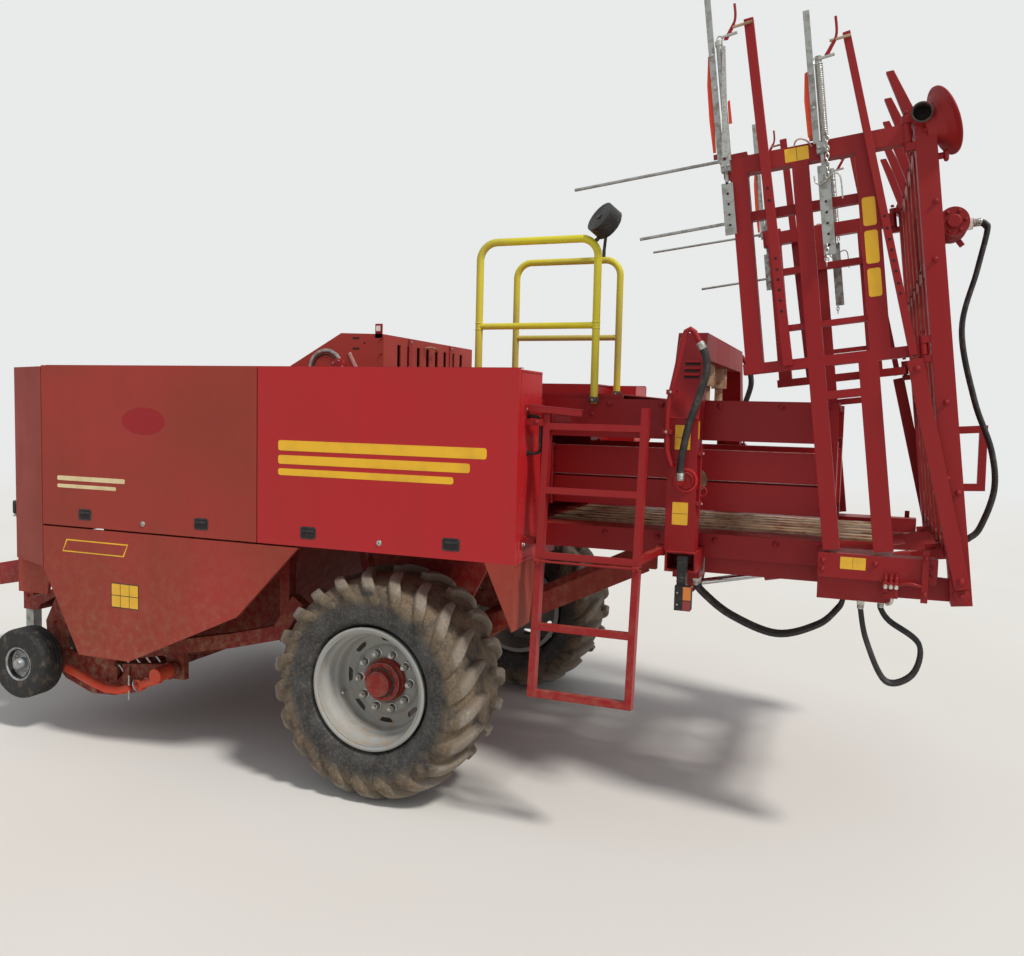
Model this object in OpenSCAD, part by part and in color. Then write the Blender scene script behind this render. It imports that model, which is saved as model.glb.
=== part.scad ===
// Square baler with a folded bale accumulator, parked on its jack.
// X runs rearward, Y to the machine's right, Z up from the ground; the road axle is at X = 0.

/* [Running gear] */
// Outside diameter of the road tyres, over the lugs
tyre_d = 1120; // [1000:10:1200]
// Width of a road tyre
tyre_w = 520; // [420:10:560]
// Distance over the outer walls of the road tyres
over_tyres = 2530; // [2400:10:2600]
// Diameter of the rim flanges
rim_flange_d = 604; // [560:4:620]
// Lugs on each half of a tread
lug_count = 22; // [16:1:26]
// Height of the tread lugs
lug_h = 34; // [20:1:40]
// Side of the square axle tube
axle_tube = 120; // [90:10:150]
// Wheel studs on a rim
stud_count = 10; // [6:1:12]
// Hand holes in a rim's disc
hand_hole_count = 8; // [4:1:10]

/* [Bale chamber] */
// Inside width of the chamber
chamber_w = 800; // [700:10:900]
// Inside height of the chamber
chamber_h = 600; // [500:10:700]
// Height of the chamber's floor above the ground
floor_z = 1345; // [1300:5:1400]
// Rear end of the chamber, behind the axle
chamber_rear_x = 2050; // [1900:10:2200]
// Rear end of the closed plunger housing
housing_rear_x = 600; // [500:10:700]
// Front end of the plunger housing, ahead of the axle
housing_front_x = -1950; // [-2000:10:-1900]
// Width over the two frame rails
rails_w = 1200; // [1100:10:1300]
// Plate thickness of rails and housing
plate_t = 10; // [6:1:14]
// Slats in the chamber's floor
slat_count = 7; // [5:1:9]

/* [Side cabinets] */
// Width over the side doors
body_w = 2500; // [2400:10:2540]
// Front edge of the doors
door_front_x = -2040; // [-2100:10:-2000]
// Seam between the front door and the rear door
door_seam_x = -625; // [-700:5:-500]
// Rear edge of the doors
door_rear_x = 745; // [700:5:800]
// Lower edge of the doors
door_low_z = 1227; // [1200:1:1260]
// Upper edge of the doors
door_top_z = 2096; // [2050:1:2150]
// Thickness of a whole door
door_t = 28; // [20:1:40]
// Depth of a cabinet, over its door
cabinet_depth = 310; // [260:10:340]
// Front face of the nose panels
nose_x = -2415; // [-2500:5:-2350]

/* [Drawbar and drive] */
// Front tip of the hitch eye, ahead of the axle
hitch_tip_x = -4080; // [-4200:10:-3900]
// Height of the hitch eye above the ground
hitch_z = 560; // [500:10:700]
// Bore of the hitch eye
hitch_bore_d = 50; // [40:1:60]
// Height of the flywheel shaft above the ground
shaft_z = 1120; // [1080:5:1160]
// Diameter of the flywheel
flywheel_d = 700; // [600:10:760]
// Diameter of the drive's input stub
stub_d = 44.5; // [34.9:0.1:50]

/* [Pickup] */
// Width over the pickup's side plates
pickup_w = 1960; // [1800:10:2100]
// Diameter over the tine tips
tine_tip_d = 560; // [500:10:600]
// Rows of tines around the reel
tine_rows = 4; // [3:1:6]
// Tine columns across the reel
tine_columns = 26; // [20:1:30]
// Diameter of a gauge wheel
gauge_d = 400; // [360:10:440]
// Width of a gauge wheel
gauge_w = 150; // [120:10:180]

/* [Accumulator] */
// Forward lean of the folded table, in degrees
table_tilt = 7; // [4:1:9]
// Length of the folded table from its hinge
table_l = 1990; // [1800:10:2100]
// Width over the table's side beams
table_w = 1780; // [1700:10:1800]
// Side of a table beam's square section
beam_s = 80; // [60:5:100]
// Height of the table's hinge above the ground
table_hinge_z = 1200; // [1180:10:1240]
// Table hinge behind the axle
table_hinge_x = 2560; // [2500:10:2600]

/* [Access] */
// Width over the ladder's rails
ladder_w = 470; // [400:10:520]
// Height of the ladder's fold above the ground
ladder_fold_z = 1245; // [1200:5:1300]
// Diameter of the guard rail tubes
rail_tube_d = 38; // [30:1:48]
// Top of the guard rails above the ground
guard_top_z = 2795; // [2600:5:2900]

/* [Hidden] */
$fn = 32;

// Rearmost point of the parked machine, behind the axle
rear_tip_x = 2800;
// The part's origin is under the middle of its length
shift_x = -(hitch_tip_x + rear_tip_x) / 2;
// Running clearance between moving pieces
gap = 5;
// Radial clearance of a pin in its bore
pin_fit = 0.1;
// Gap between curved faces that seat on each other
seat = 0.3;
over = 1;

axle_z = tyre_d / 2;
wheel_y = (over_tyres - tyre_w) / 2;
half_w = body_w / 2;
chamber_y = chamber_w / 2;
roof_z = floor_z + chamber_h;
rail_y = rails_w / 2;
wall_y = chamber_y + plate_t;
lower_rail_h = 115;
lower_rail_z = floor_z - lower_rail_h;
slat_t = 12;
upper_rail_low_z = 1790;
upper_rail_top_z = 1980;
top_cover_z = upper_rail_top_z + plate_t;
cabinet_in_y = half_w - cabinet_depth;
cabinet_edge_y = half_w - door_t - gap;
// Half widths of the accumulator's side beams, base arms and wings, from the table's width
beam_y1 = table_w / 2;
beam_y0 = beam_y1 - beam_s;
base_arm_y1 = beam_y0 - 10;
base_arm_y0 = base_arm_y1 - 40;
wing_y1 = beam_y1 - 10;
wing_y0 = wing_y1 - 60;

// Placing helpers
module place() { translate([shift_x, 0, 0]) children(); }

// A box from its low corner to its high corner
module span(lo, hi) { translate(lo) cube(hi - lo); }

// The same piece on both sides of the machine
module both() { children(); mirror([0, 1, 0]) children(); }

// Side -1 is the machine's left, as drawn; side 1 is its mirror image
module on_side(side) { if (side < 0) children(); else mirror([0, 1, 0]) children(); }

// An outline in the XZ plane, extruded from y0 to y1
module side_plate(outline, y0, y1) {
    translate([0, y1, 0]) rotate([90, 0, 0]) linear_extrude(y1 - y0) polygon(outline);
}

// An outline in the YZ plane, extruded from x0 to x1
module cross_plate(outline, x0, x1) {
    translate([x0, 0, 0]) rotate([90, 0, 90]) linear_extrude(x1 - x0) polygon(outline);
}

// A round bar from a to b
module rod(a, b, r) {
    d = b - a;
    translate(a) rotate([0, acos(d[2] / norm(d)), atan2(d[1], d[0])]) cylinder(r = r, h = norm(d));
}

// A rectangular bar from a to b, w wide and h high
module bar(a, b, w, h) {
    d = b - a;
    translate(a) rotate([0, -asin(d[2] / norm(d)), atan2(d[1], d[0])])
        translate([0, -w / 2, -h / 2]) cube([norm(d), w, h]);
}

// A cylinder along Y between two planes
module y_cyl(x, z, r, y0, y1) { translate([x, y1, z]) rotate([90, 0, 0]) cylinder(r = r, h = y1 - y0); }

// A cylinder along X between two planes
module x_cyl(y, z, r, x0, x1) { translate([x0, y, z]) rotate([0, 90, 0]) cylinder(r = r, h = x1 - x0); }

// A hollow square tube along Y
module y_tube(x, z, side, wall, y0, y1) {
    difference() {
        span([x - side / 2, y0, z - side / 2], [x + side / 2, y1, z + side / 2]);
        span([x - side / 2 + wall, y0 - over, z - side / 2 + wall],
             [x + side / 2 - wall, y1 + over, z + side / 2 - wall]);
    }
}

// A channel along X on the left, its web outside, open towards the middle
module channel(x0, x1, z0, z1, y_in, y_out, t) {
    difference() {
        span([x0, -y_out, z0], [x1, -y_in, z1]);
        span([x0 - over, -y_out + t, z0 + t], [x1 + over, -y_in + over, z1 - t]);
    }
}

// Outline of a bent flat bar, h wide, along 2D points
function unit(v) = v / norm(v);
function miter(p, i, h) = let (n = len(p), a = unit(p[max(i, 1)] - p[max(i, 1) - 1]), b = i == n - 1 ? a : unit(p[i + 1] - p[i]),
    na = [-a[1], a[0]], m = unit(na + [-b[1], b[0]])) p[i] + m * h / (m * na);
function strip(p, h) = [for (i = [0 : len(p) - 1]) miter(p, i, h / 2), for (i = [len(p) - 1 : -1 : 0]) miter(p, i, -h / 2)];

// A round tube swept along 3D points, smoothed through them where steps is above 1
function spline(p, i, t) = let (n = len(p), a = p[max(i - 1, 0)], b = p[i], c = p[min(i + 1, n - 1)], d = p[min(i + 2, n - 1)])
    0.5 * ((2 * b) + (c - a) * t + (2 * a - 5 * b + 4 * c - d) * t * t + (3 * b - a - 3 * c + d) * t * t * t);
module hose(p, r, steps = 2, sides = 8) {
    path = [for (i = [0 : len(p) - 2], k = [0 : steps - 1]) spline(p, i, k / steps), p[len(p) - 1]];
    n = len(path);
    points = [for (i = [0 : n - 1]) let (d = path[min(i + 1, n - 1)] - path[max(i - 1, 0)], t = d / norm(d),
        u = cross(t, [0, 1, 0.001]), v = u / norm(u), w = cross(t, v))
        for (k = [0 : sides - 1]) path[i] + r * (v * cos(360 * k / sides) + w * sin(360 * k / sides))];
    faces = concat([[for (k = [0 : sides - 1]) k]], [[for (k = [sides - 1 : -1 : 0]) (n - 1) * sides + k]],
        [for (i = [0 : n - 2], k = [0 : sides - 1]) let (a = i * sides + k, b = i * sides + (k + 1) % sides)
            each [[a, a + sides, b + sides], [a, b + sides, b]]]);
    polyhedron(points, faces);
}

// Chassis
outrigger_xs = [-1900, -1000, -690, 640];
outrigger_h = 40;
cross_xs = [-1900, -850, 300, 700, 1100, 1800];
bulkhead_t = 20;

module main_frame() {
    color("firebrick") place() {
        both() channel(housing_front_x, chamber_rear_x, lower_rail_z, floor_z, wall_y, rail_y, plate_t);
        both() channel(housing_rear_x, chamber_rear_x, upper_rail_low_z, upper_rail_top_z, 440, rail_y, plate_t);
        for (x = cross_xs) span([x - 40, -wall_y - plate_t, lower_rail_z], [x + 40, wall_y + plate_t, floor_z - slat_t]);
        both() span([housing_rear_x - 20, -rail_y, floor_z - over], [housing_rear_x, -wall_y, upper_rail_top_z]);
        both() span([chamber_rear_x - 20, -rail_y, floor_z - over], [chamber_rear_x, -440, upper_rail_low_z + over]);
    }
}

// Front plate of the frame, with a window to the plunger's crank
module bulkhead() {
    color("firebrick") place() difference() {
        span([housing_front_x - bulkhead_t, -rail_y, 900], [housing_front_x, rail_y, upper_rail_top_z]);
        span([housing_front_x - bulkhead_t - over, -250, 1450], [housing_front_x + over, 250, 1800]);
    }
}

// Outriggers under the rails that carry the cabinets
module outriggers() {
    low_z = door_low_z - outrigger_h;
    outline = [[-half_w + skirt_t, low_z], [-wall_y - 60, low_z], [-wall_y - 60, lower_rail_z], [-rail_y, lower_rail_z],
               [-rail_y, door_low_z], [-cabinet_edge_y, door_low_z], [-cabinet_edge_y, door_low_z - 10],
               [-half_w + skirt_t, door_low_z - 10]];
    color("firebrick") place() both() for (x = outrigger_xs) cross_plate(outline, x - 30, x + 30);
}

// Frame under the skirts that carries the pickup and the feeder
under_y0 = 860;
under_y1 = 920;
pickup_pivot = [-1430, 400];
under_points = [[-1690, 472], [-1027, 610], [-732, 687], [-606, 875]];

module under_frame() {
    color("darkred") place() both() {
        side_plate(strip(under_points, 80), -under_y1, -under_y0);
        difference() {
            side_plate([[-1520, 1187], [-1380, 1187], [-1370, 340], [-1490, 340], [-1500, 470]], -under_y1 + 10, -under_y0 - 10);
            y_cyl(pickup_pivot[0], pickup_pivot[1], 20 + pin_fit, -under_y1, -under_y0);
        }
        span([-690 - 30, -under_y1, 640], [-690 + 30, -under_y0, 1187]);
        span([-1500, -under_y0 - 20, 700], [-1420, -feed_y, 760]);
        span([-720, -under_y0 - over, 700], [-660, -hanger_y1, 760]);
        span([-1900 - 30, -under_y1, 1127], [-1380, -under_y0, 1187]);
    }
}

// Road axle with its hangers and spindles
spindle_r = 45;
hanger_y0 = 560;
hanger_y1 = 590;
module axle() {
    color("darkred") place() {
        span([-axle_tube / 2, -640, axle_z - axle_tube / 2], [axle_tube / 2, 640, axle_z + axle_tube / 2]);
        both() {
            side_plate([[-420, lower_rail_z], [420, lower_rail_z], [110, axle_z + 60], [80, axle_z - 70],
                        [-80, axle_z - 70], [-110, axle_z + 60]], -hanger_y1, -hanger_y0);
            bar([90, -(hanger_y0 + hanger_y1) / 2, 645], [1180, -(hanger_y0 + hanger_y1) / 2, 1180], 24, 100);
            bar([-90, -(hanger_y0 + hanger_y1) / 2, 645], [-690, -(hanger_y0 + hanger_y1) / 2, 730], 24, 100);
            y_cyl(0, axle_z, spindle_r + 45, -680, -640 + over);
            y_cyl(0, axle_z, spindle_r, -wheel_y - 110, -640);
            span([1120, -rail_y, 1150], [1240, -hanger_y0, lower_rail_z]);
        }
    }
}

// Drawbar, hitch eye, jack sleeve and shaft pedestal
arm_start = [housing_front_x - bulkhead_t, 540, 1080];
arm_end = [-3150, 230, 740];
tongue_end = [-3840, 0, hitch_z + 40];
jack_x = -3330;
jack_y = -190;
jack_sleeve_s = 90;
jack_leg_s = 70;
jack_top_z = 1050;
pedestal_x = -3300;
module drawbar() {
    color("firebrick") place() difference() {
        union() {
            both() {
                intersection() {
                    bar([arm_start[0] + 60, -arm_start[1] - 20, arm_start[2] + 17], [arm_end[0], -arm_end[1], arm_end[2]], 100, 140);
                    span([arm_end[0] - 200, -700, 500], [arm_start[0], 0, 1300]);
                }
                span([arm_start[0] - 20, -rail_y, 960], [arm_start[0], -arm_start[1] + 60, 1200]);
            }
            bar([-2940, 0, 780], tongue_end, 200, 160);
            span([arm_end[0] - 60, -285, 670], [arm_end[0] + 60, 285, 810]);
            span([tongue_end[0] - 130, -60, hitch_z - 25], [tongue_end[0] + 60, 60, hitch_z + 25]);
            translate([hitch_tip_x + 80, 0, hitch_z - 25]) cylinder(r = 80, h = 50);
            span([hitch_tip_x + 100, -50, hitch_z - 25], [tongue_end[0], 50, hitch_z + 25]);
            span([pedestal_x - 30, -90, 700], [pedestal_x + 30, 90, shaft_z - 60]);
            x_cyl(0, shaft_z, 75, pedestal_x - 40, pedestal_x + 40);
            span([jack_x - jack_sleeve_s / 2, jack_y - jack_sleeve_s / 2, 420],
                 [jack_x + jack_sleeve_s / 2, jack_y + jack_sleeve_s / 2, jack_top_z]);
            span([jack_x - 60, jack_y, 600], [jack_x + 60, 0, 700]);
        }
        translate([hitch_tip_x + 80, 0, 0]) cylinder(r = hitch_bore_d / 2, h = 2 * hitch_z);
        x_cyl(0, shaft_z, 30 + pin_fit, pedestal_x - 100, pedestal_x + 100);
        span([jack_x - jack_leg_s / 2 - 2, jack_y - jack_leg_s / 2 - 2, 0],
             [jack_x + jack_leg_s / 2 + 2, jack_y + jack_leg_s / 2 + 2, jack_top_z - 10]);
    }
}

module jack_leg() {
    color("silver") place() {
        span([jack_x - jack_leg_s / 2, jack_y - jack_leg_s / 2, 10],
             [jack_x + jack_leg_s / 2, jack_y + jack_leg_s / 2, 640]);
        translate([jack_x, jack_y, 0]) cylinder(r = 125, h = 14);
    }
}

// Plunger housing with its side ribs and the covers between it and the cabinets
rib_xs = [-1940, -1300, -640, 0, 570];
module plunger_housing() {
    color("firebrick") place() {
        both() span([housing_front_x, -wall_y, floor_z - slat_t], [housing_rear_x, -chamber_y, upper_rail_top_z]);
        span([housing_front_x, -rail_y - plate_t, upper_rail_top_z], [housing_rear_x, rail_y + plate_t, top_cover_z]);
        span([-850, -wall_y, floor_z - slat_t], [housing_rear_x, wall_y, floor_z]);
        span([housing_front_x, -wall_y, floor_z - slat_t], [-1400, wall_y, floor_z]);
        both() for (x = rib_xs) cross_plate([[-wall_y, floor_z], [-440, floor_z], [-cabinet_in_y, 1750],
            [-cabinet_in_y, 2080], [-rail_y, 2080], [-rail_y, upper_rail_top_z], [-wall_y, upper_rail_top_z]], x - 5, x + 5);
        both() span([housing_front_x, -cabinet_in_y, 2080], [housing_rear_x - 20, -rail_y, 2090]);
        both() span([housing_front_x, -rail_y - plate_t, top_cover_z - over], [housing_rear_x - 20, -rail_y, 2081]);
        span([-700, -chamber_y - over, floor_z + 20], [-300, chamber_y + over, roof_z - 20]);
    }
}

gearbox_x0 = housing_front_x - bulkhead_t - 330;
module gearbox() {
    color("dimgray") place() difference() {
        union() {
            span([gearbox_x0, -200, shaft_z - 210], [housing_front_x - bulkhead_t, 200, shaft_z + 230]);
            x_cyl(0, shaft_z, 110, gearbox_x0 - 40, gearbox_x0 + over);
        }
        x_cyl(0, shaft_z, 40 + pin_fit, gearbox_x0 - 50, gearbox_x0 + 130);
    }
}

// Flywheel with its clutch drum and input shaft
flywheel_x0 = -2520;
flywheel_x1 = -2410;
stub_x = -3480;
shaft_r = 30;
module flywheel() {
    r = flywheel_d / 2;
    color("firebrick") place() difference() {
        union() {
            difference() {
                x_cyl(0, shaft_z, r, flywheel_x0, flywheel_x1);
                x_cyl(0, shaft_z, r - 70, flywheel_x0 - over, flywheel_x0 + 40);
                x_cyl(0, shaft_z, r - 70, flywheel_x1 - 40, flywheel_x1 + over);
            }
            x_cyl(0, shaft_z, 95, flywheel_x0 - 40, flywheel_x1 + 10);
            x_cyl(0, shaft_z, 85, flywheel_x0 - 200, flywheel_x0 - 39);
            x_cyl(0, shaft_z, shaft_r, pedestal_x - 60, flywheel_x0 - 199);
            x_cyl(0, shaft_z, 50, pedestal_x + 60, pedestal_x + 160);
            x_cyl(0, shaft_z, stub_d / 2, stub_x, pedestal_x - 59);
            x_cyl(0, shaft_z, 40, flywheel_x1 + 9, gearbox_x0 + 120);
        }
        for (a = [0 : 60 : 300]) x_cyl(190 * cos(a), shaft_z + 190 * sin(a), 45, flywheel_x0 - over, flywheel_x1 + over);
    }
}

// Feeder channel that curves from the pickup up to the housing
feed_centre = [-1800, lower_rail_z];
feed_out_r = 900;
feed_in_r = 400;
feed_y = 450;
feed_lip = 40;
module feed_sector(r0, r1) {
    intersection() {
        difference() { circle(r = r1, $fn = 96); circle(r = r0, $fn = 96); }
        translate([feed_lip, -r1]) square([r1, r1]);
    }
}
module feeder_housing() {
    color("darkred") place() translate([feed_centre[0], 0, feed_centre[1]]) {
        both() translate([0, -feed_y + plate_t, 0]) rotate([90, 0, 0]) linear_extrude(plate_t) feed_sector(feed_in_r, feed_out_r);
        translate([0, feed_y, 0]) rotate([90, 0, 0]) linear_extrude(2 * feed_y) feed_sector(feed_out_r - 8, feed_out_r);
        translate([0, feed_y, 0]) rotate([90, 0, 0]) linear_extrude(2 * feed_y) feed_sector(feed_in_r, feed_in_r + 8);
    }
}

// Needle yoke parked under the chamber, with curved needles
needle_ys = [-270, -90, 90, 270];
needle_pivot = [-60, 1130];
needle_r = 560;
yoke_x = -500;
yoke_z = 800;
module needle_yoke() {
    color("darkred") place() {
        both() bar([needle_pivot[0], -500, needle_pivot[1]], [yoke_x, -500, yoke_z], 30, 90);
        both() y_cyl(needle_pivot[0], needle_pivot[1], 45, -515, -485);
        both() y_cyl(needle_pivot[0], needle_pivot[1], 20, -hanger_y0, -500);
        y_tube(yoke_x, yoke_z, 80, 8, -485, 485);
        for (y = needle_ys) translate([needle_pivot[0], y + 8, needle_pivot[1]]) rotate([90, 0, 0])
            linear_extrude(16) intersection() {
                difference() { circle(r = needle_r, $fn = 96); circle(r = needle_r - 40, $fn = 96); }
                polygon([[0, 0], [-needle_r, -30], [-needle_r, -520], [-520, -480]]);
            }
    }
}

// Pickup: side plates, stripper bands, rear tube, crop roller
reel_x = -2080;
reel_z = 500;
tine_pitch = (pickup_w - 80) / tine_columns;
tine_s = 6;
band_gap = tine_s + 2 * gap + 2;
band_r = 205;
band_t = 4;
side_t = 20;
tine_bar_r = 150;
band_top_a = 48;
band_low_a = 45;
band_tube_r = 328;
reel_shaft_r = 25;
module band_sector(r0, r1, a0, a1) {
    intersection() {
        difference() { circle(r = r1, $fn = 64); circle(r = r0, $fn = 64); }
        polygon([[0, 0], for (a = [a0 : (a1 - a0) / 6 : a1]) 2 * r1 * [cos(a), sin(a)]]);
    }
}
module pickup_frame() {
    y1 = pickup_w / 2;
    y0 = y1 - side_t;
    color("darkred") place() {
        both() difference() {
            union() {
                side_plate([[-1790, 300], [-1780, 620], [-1800, 800], [-1960, 930], [-2150, 930], [-2330, 600],
                            [-2310, 400], [-2180, 270], [-1980, 205], [-1800, 215], [-1700, 250], [-1700, 400]], -y1, -y0);
                bar([-1760, -y0 + 10, 360], [pickup_pivot[0], -y0 + 10, pickup_pivot[1]], 30, 80);
                y_cyl(pickup_pivot[0], pickup_pivot[1], 48, -y0 - 8, -y0 + 28);
                y_cyl(pickup_pivot[0], pickup_pivot[1], 20, -y0 + 10, -under_y0);
            }
            y_cyl(reel_x, reel_z, reel_shaft_r + pin_fit, -y1 - over, -y0 + over);
            for (p = [[-1790, 400], [-1930, 240], [-1770, 260]]) y_cyl(p[0], p[1], 20, -y1 - over, -y0 + over);
        }
        for (i = [0 : tine_columns]) {
            yc = (i - tine_columns / 2) * tine_pitch;
            lo = max(yc - (tine_pitch - band_gap) / 2, -y0);
            hi = min(yc + (tine_pitch - band_gap) / 2, y0);
            translate([reel_x, hi, reel_z]) rotate([90, 0, 0]) linear_extrude(hi - lo) {
                band_sector(band_r - band_t, band_r, band_top_a, 360 - band_low_a);
                rotate(band_top_a) translate([band_r - band_t / 2, -over]) square([band_tube_r - band_r, band_t]);
                rotate(-band_low_a) translate([band_r - band_t / 2, over - band_t])
                    square([band_tube_r - band_r, band_t]);
            }
        }
        y_cyl(reel_x + band_tube_r * cos(band_top_a), reel_z + band_tube_r * sin(band_top_a), 25, -y0, y0);
        y_cyl(reel_x + band_tube_r * cos(band_low_a), reel_z - band_tube_r * sin(band_low_a), 32, -y0, y0);
        both() bar([-2080, -y0 + 10, 870], [-2440, -y0 + 10, 690], 20, 50);
        y_cyl(-2440, 690, 45, -y0, y0);
    }
}

module pickup_reel() {
    color("dimgray") place() translate([reel_x, 0, reel_z]) {
        y_cyl(0, 0, reel_shaft_r, -pickup_w / 2 - 10, pickup_w / 2 + 10);
        for (y = [-930, -310, 310, 930]) y_cyl(0, 0, tine_bar_r + 22, y - 4, y + 4);
        for (j = [0 : tine_rows - 1]) rotate([0, 360 / tine_rows * j + 20, 0]) {
            y_cyl(tine_bar_r, 0, 14, -934, 934);
            for (i = [0 : tine_columns - 1]) {
                y = (i - (tine_columns - 1) / 2) * tine_pitch;
                span([tine_bar_r, y - tine_s / 2, -tine_s / 2], [tine_tip_d / 2, y + tine_s / 2, tine_s / 2]);
            }
        }
    }
}

// Gauge wheels on bent tube arms beside the pickup
gauge_x = -2280;
gauge_z = 400;
gauge_y = 1150;
gauge_arm_y = 1045;
gauge_arm_r = 24;
gauge_axle_r = 12;
gauge_points = [[-2280, 400], [-2180, 379], [-2110, 360], [-1870, 286], [-1810, 274], [-1730, 274], [-1680, 282],
                [-1610, 311], [-1560, 327], [-1420, 378]];
module gauge_arms() {
    color("orangered") place() both() {
        hose([for (p = gauge_points) [p[0], -gauge_arm_y, p[1]]], gauge_arm_r, 1, 16);
        y_cyl(gauge_x, gauge_z, gauge_arm_r + 8, -gauge_arm_y - gauge_arm_r - 3, -gauge_arm_y + gauge_arm_r + 3);
        y_cyl(gauge_x, gauge_z, gauge_axle_r, -gauge_y - gauge_w / 2 - 6, -gauge_arm_y - gauge_arm_r);
        y_cyl(-1766, 274, 16, -gauge_arm_y + 5, -pickup_w / 2);
        y_cyl(-1560, 327, 34, -gauge_arm_y - 20, -gauge_arm_y + 20);
        y_cyl(pickup_pivot[0], pickup_pivot[1], 40, -gauge_arm_y - gauge_arm_r - 4, -pickup_w / 2 + side_t - 8);
    }
}

// A gauge wheel: tyre and rim turned as one
module gauge_wheel(side) {
    r = gauge_d / 2;
    h = gauge_w / 2;
    color("dimgray") place() on_side(side) translate([gauge_x, -gauge_y, gauge_z]) rotate([90, 0, 0]) {
        rotate_extrude($fn = 48) difference() {
            union() {
                translate([90, -h]) offset_box(r - 90, 2 * h, 24);
                translate([80, -h + 10]) square([14, 2 * h - 20]);
                translate([gauge_axle_r + pin_fit, -30]) square([80, 8]);
                translate([gauge_axle_r + pin_fit, -35]) square([20, 70]);
            }
            for (i = [-2 : 2]) translate([r, i * 24]) circle(r = 5, $fn = 16);
        }
    }
}
module offset_box(w, h, r) {
    polygon([[0, 8], [r, 0], [w - r, 0], for (a = [-60 : 30 : 0]) [w - r + r * cos(a), r + r * sin(a)],
             for (a = [0 : 30 : 60]) [w - r + r * cos(a), h - r + r * sin(a)], [w - r, h], [r, h], [0, h - 8]]);
}

// Road wheels
tyre_r = tyre_d / 2;
carcass_r = tyre_r - lug_h;
bead_r = rim_flange_d / 2 - 17;
wall_round = 3.3;
function tyre_half(y, w) = pow(1 - pow(abs(y) / w, wall_round), 1 / wall_round);
function carcass_points(w, r0, r1) = [
    for (i = [0 : 24]) let (a = -90 + i * 180 / 24, s = sin(a), c = cos(a))
        [(r0 + r1) / 2 + (r1 - r0) / 2 * pow(abs(c), 0.6), w * sign(s) * pow(abs(s), 0.6)],
    for (i = [1 : 23]) let (a = 90 + i * 180 / 24, s = sin(a), c = cos(a))
        [(r0 + r1) / 2 - (r1 - r0) / 2 * pow(abs(c), 0.6), w * sign(s) * pow(abs(s), 0.6)]
];
// Share of the half width, and drop of the lug's top below the tyre's radius
lug_stations = [[0.04, 0], [0.4, 1], [0.72, 8], [0.94, 26], [0.985, 74]];
function lug_foot(y) = (bead_r + carcass_r) / 2 + (carcass_r - bead_r) / 2 * tyre_half(y, tyre_w / 2) - 10;
function lug_turn(s) = -14 * pow(s, 1.4);
function lug_half(s) = (22 + 12 * s) / tyre_r * 57.3;
module lug() {
    points = [for (station = lug_stations)
        let (s = station[0], y = s * tyre_w / 2, top = tyre_r - station[1], foot = lug_foot(y), a = lug_turn(s), h = lug_half(s))
        each [for (c = [[foot, a - h * 1.15], [foot, a + h * 1.15], [top, a + h], [top, a - h]])
            [c[0] * cos(c[1]), c[0] * sin(c[1]), y]]];
    n = len(lug_stations);
    faces = concat([[0, 2, 1], [0, 3, 2], [4 * n - 4, 4 * n - 3, 4 * n - 2], [4 * n - 4, 4 * n - 2, 4 * n - 1]],
        [for (k = [0 : n - 2], i = [0 : 3]) let (a = 4 * k + i, b = 4 * k + (i + 1) % 4) each [[a, b, b + 4], [a, b + 4, a + 4]]]);
    polyhedron(points, faces);
}
module tyre(side) {
    color("dimgray") place() on_side(side) translate([0, -wheel_y, axle_z]) rotate([90, 0, 0]) {
        rotate_extrude($fn = 72) difference() {
            polygon(carcass_points(tyre_w / 2, bead_r, carcass_r));
            polygon(carcass_points(tyre_w / 2 - 22, bead_r + 24, carcass_r - 24));
            translate([0, -150]) square([bead_r + 60, 300]);
        }
        for (k = [0 : lug_count - 1]) {
            rotate([0, 0, 360 / lug_count * k]) lug();
            rotate([0, 0, 360 / lug_count * (k + 0.5)]) mirror([0, 0, 1]) lug();
        }
    }
}

rim_w = 450;
rim_wall = 10;
disc_y = 20;
stud_circle_r = 140;
module rim(side) {
    flange = rim_flange_d / 2;
    color("gainsboro") place() on_side(side) translate([0, -wheel_y, axle_z]) rotate([90, 0, 0]) difference() {
        union() {
            rotate_extrude($fn = 72) {
                translate([bead_r - seat - rim_wall, -rim_w / 2]) square([rim_wall, rim_w]);
                for (s = [-1, 1]) translate([bead_r - seat - rim_wall, s * rim_w / 2 - (s > 0 ? rim_wall : 0)])
                    square([flange - bead_r + seat + rim_wall, rim_wall]);
                translate([spindle_r + 20, disc_y]) square([bead_r - seat - 5 - spindle_r - 20, 14]);
            }
            cylinder(r = 95, h = 90);
            translate([0, 0, 89]) cylinder(r = 60, h = 45);
            translate([0, 0, -80]) cylinder(r = 80, h = 110);
            for (k = [0 : stud_count - 1]) rotate([0, 0, 360 / stud_count * k]) translate([stud_circle_r, 0, disc_y + 13])
                cylinder(r = 13, h = 32);
        }
        for (k = [0 : hand_hole_count - 1]) rotate([0, 0, 360 / hand_hole_count * k]) translate([215, 0, disc_y - over])
            linear_extrude(20) {
                square([40, 32], center = true);
                for (y = [-16, 16]) translate([0, y]) circle(r = 20);
            }
        translate([0, 0, -over - 80]) cylinder(r = spindle_r + pin_fit, h = 200);
    }
}

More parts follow.
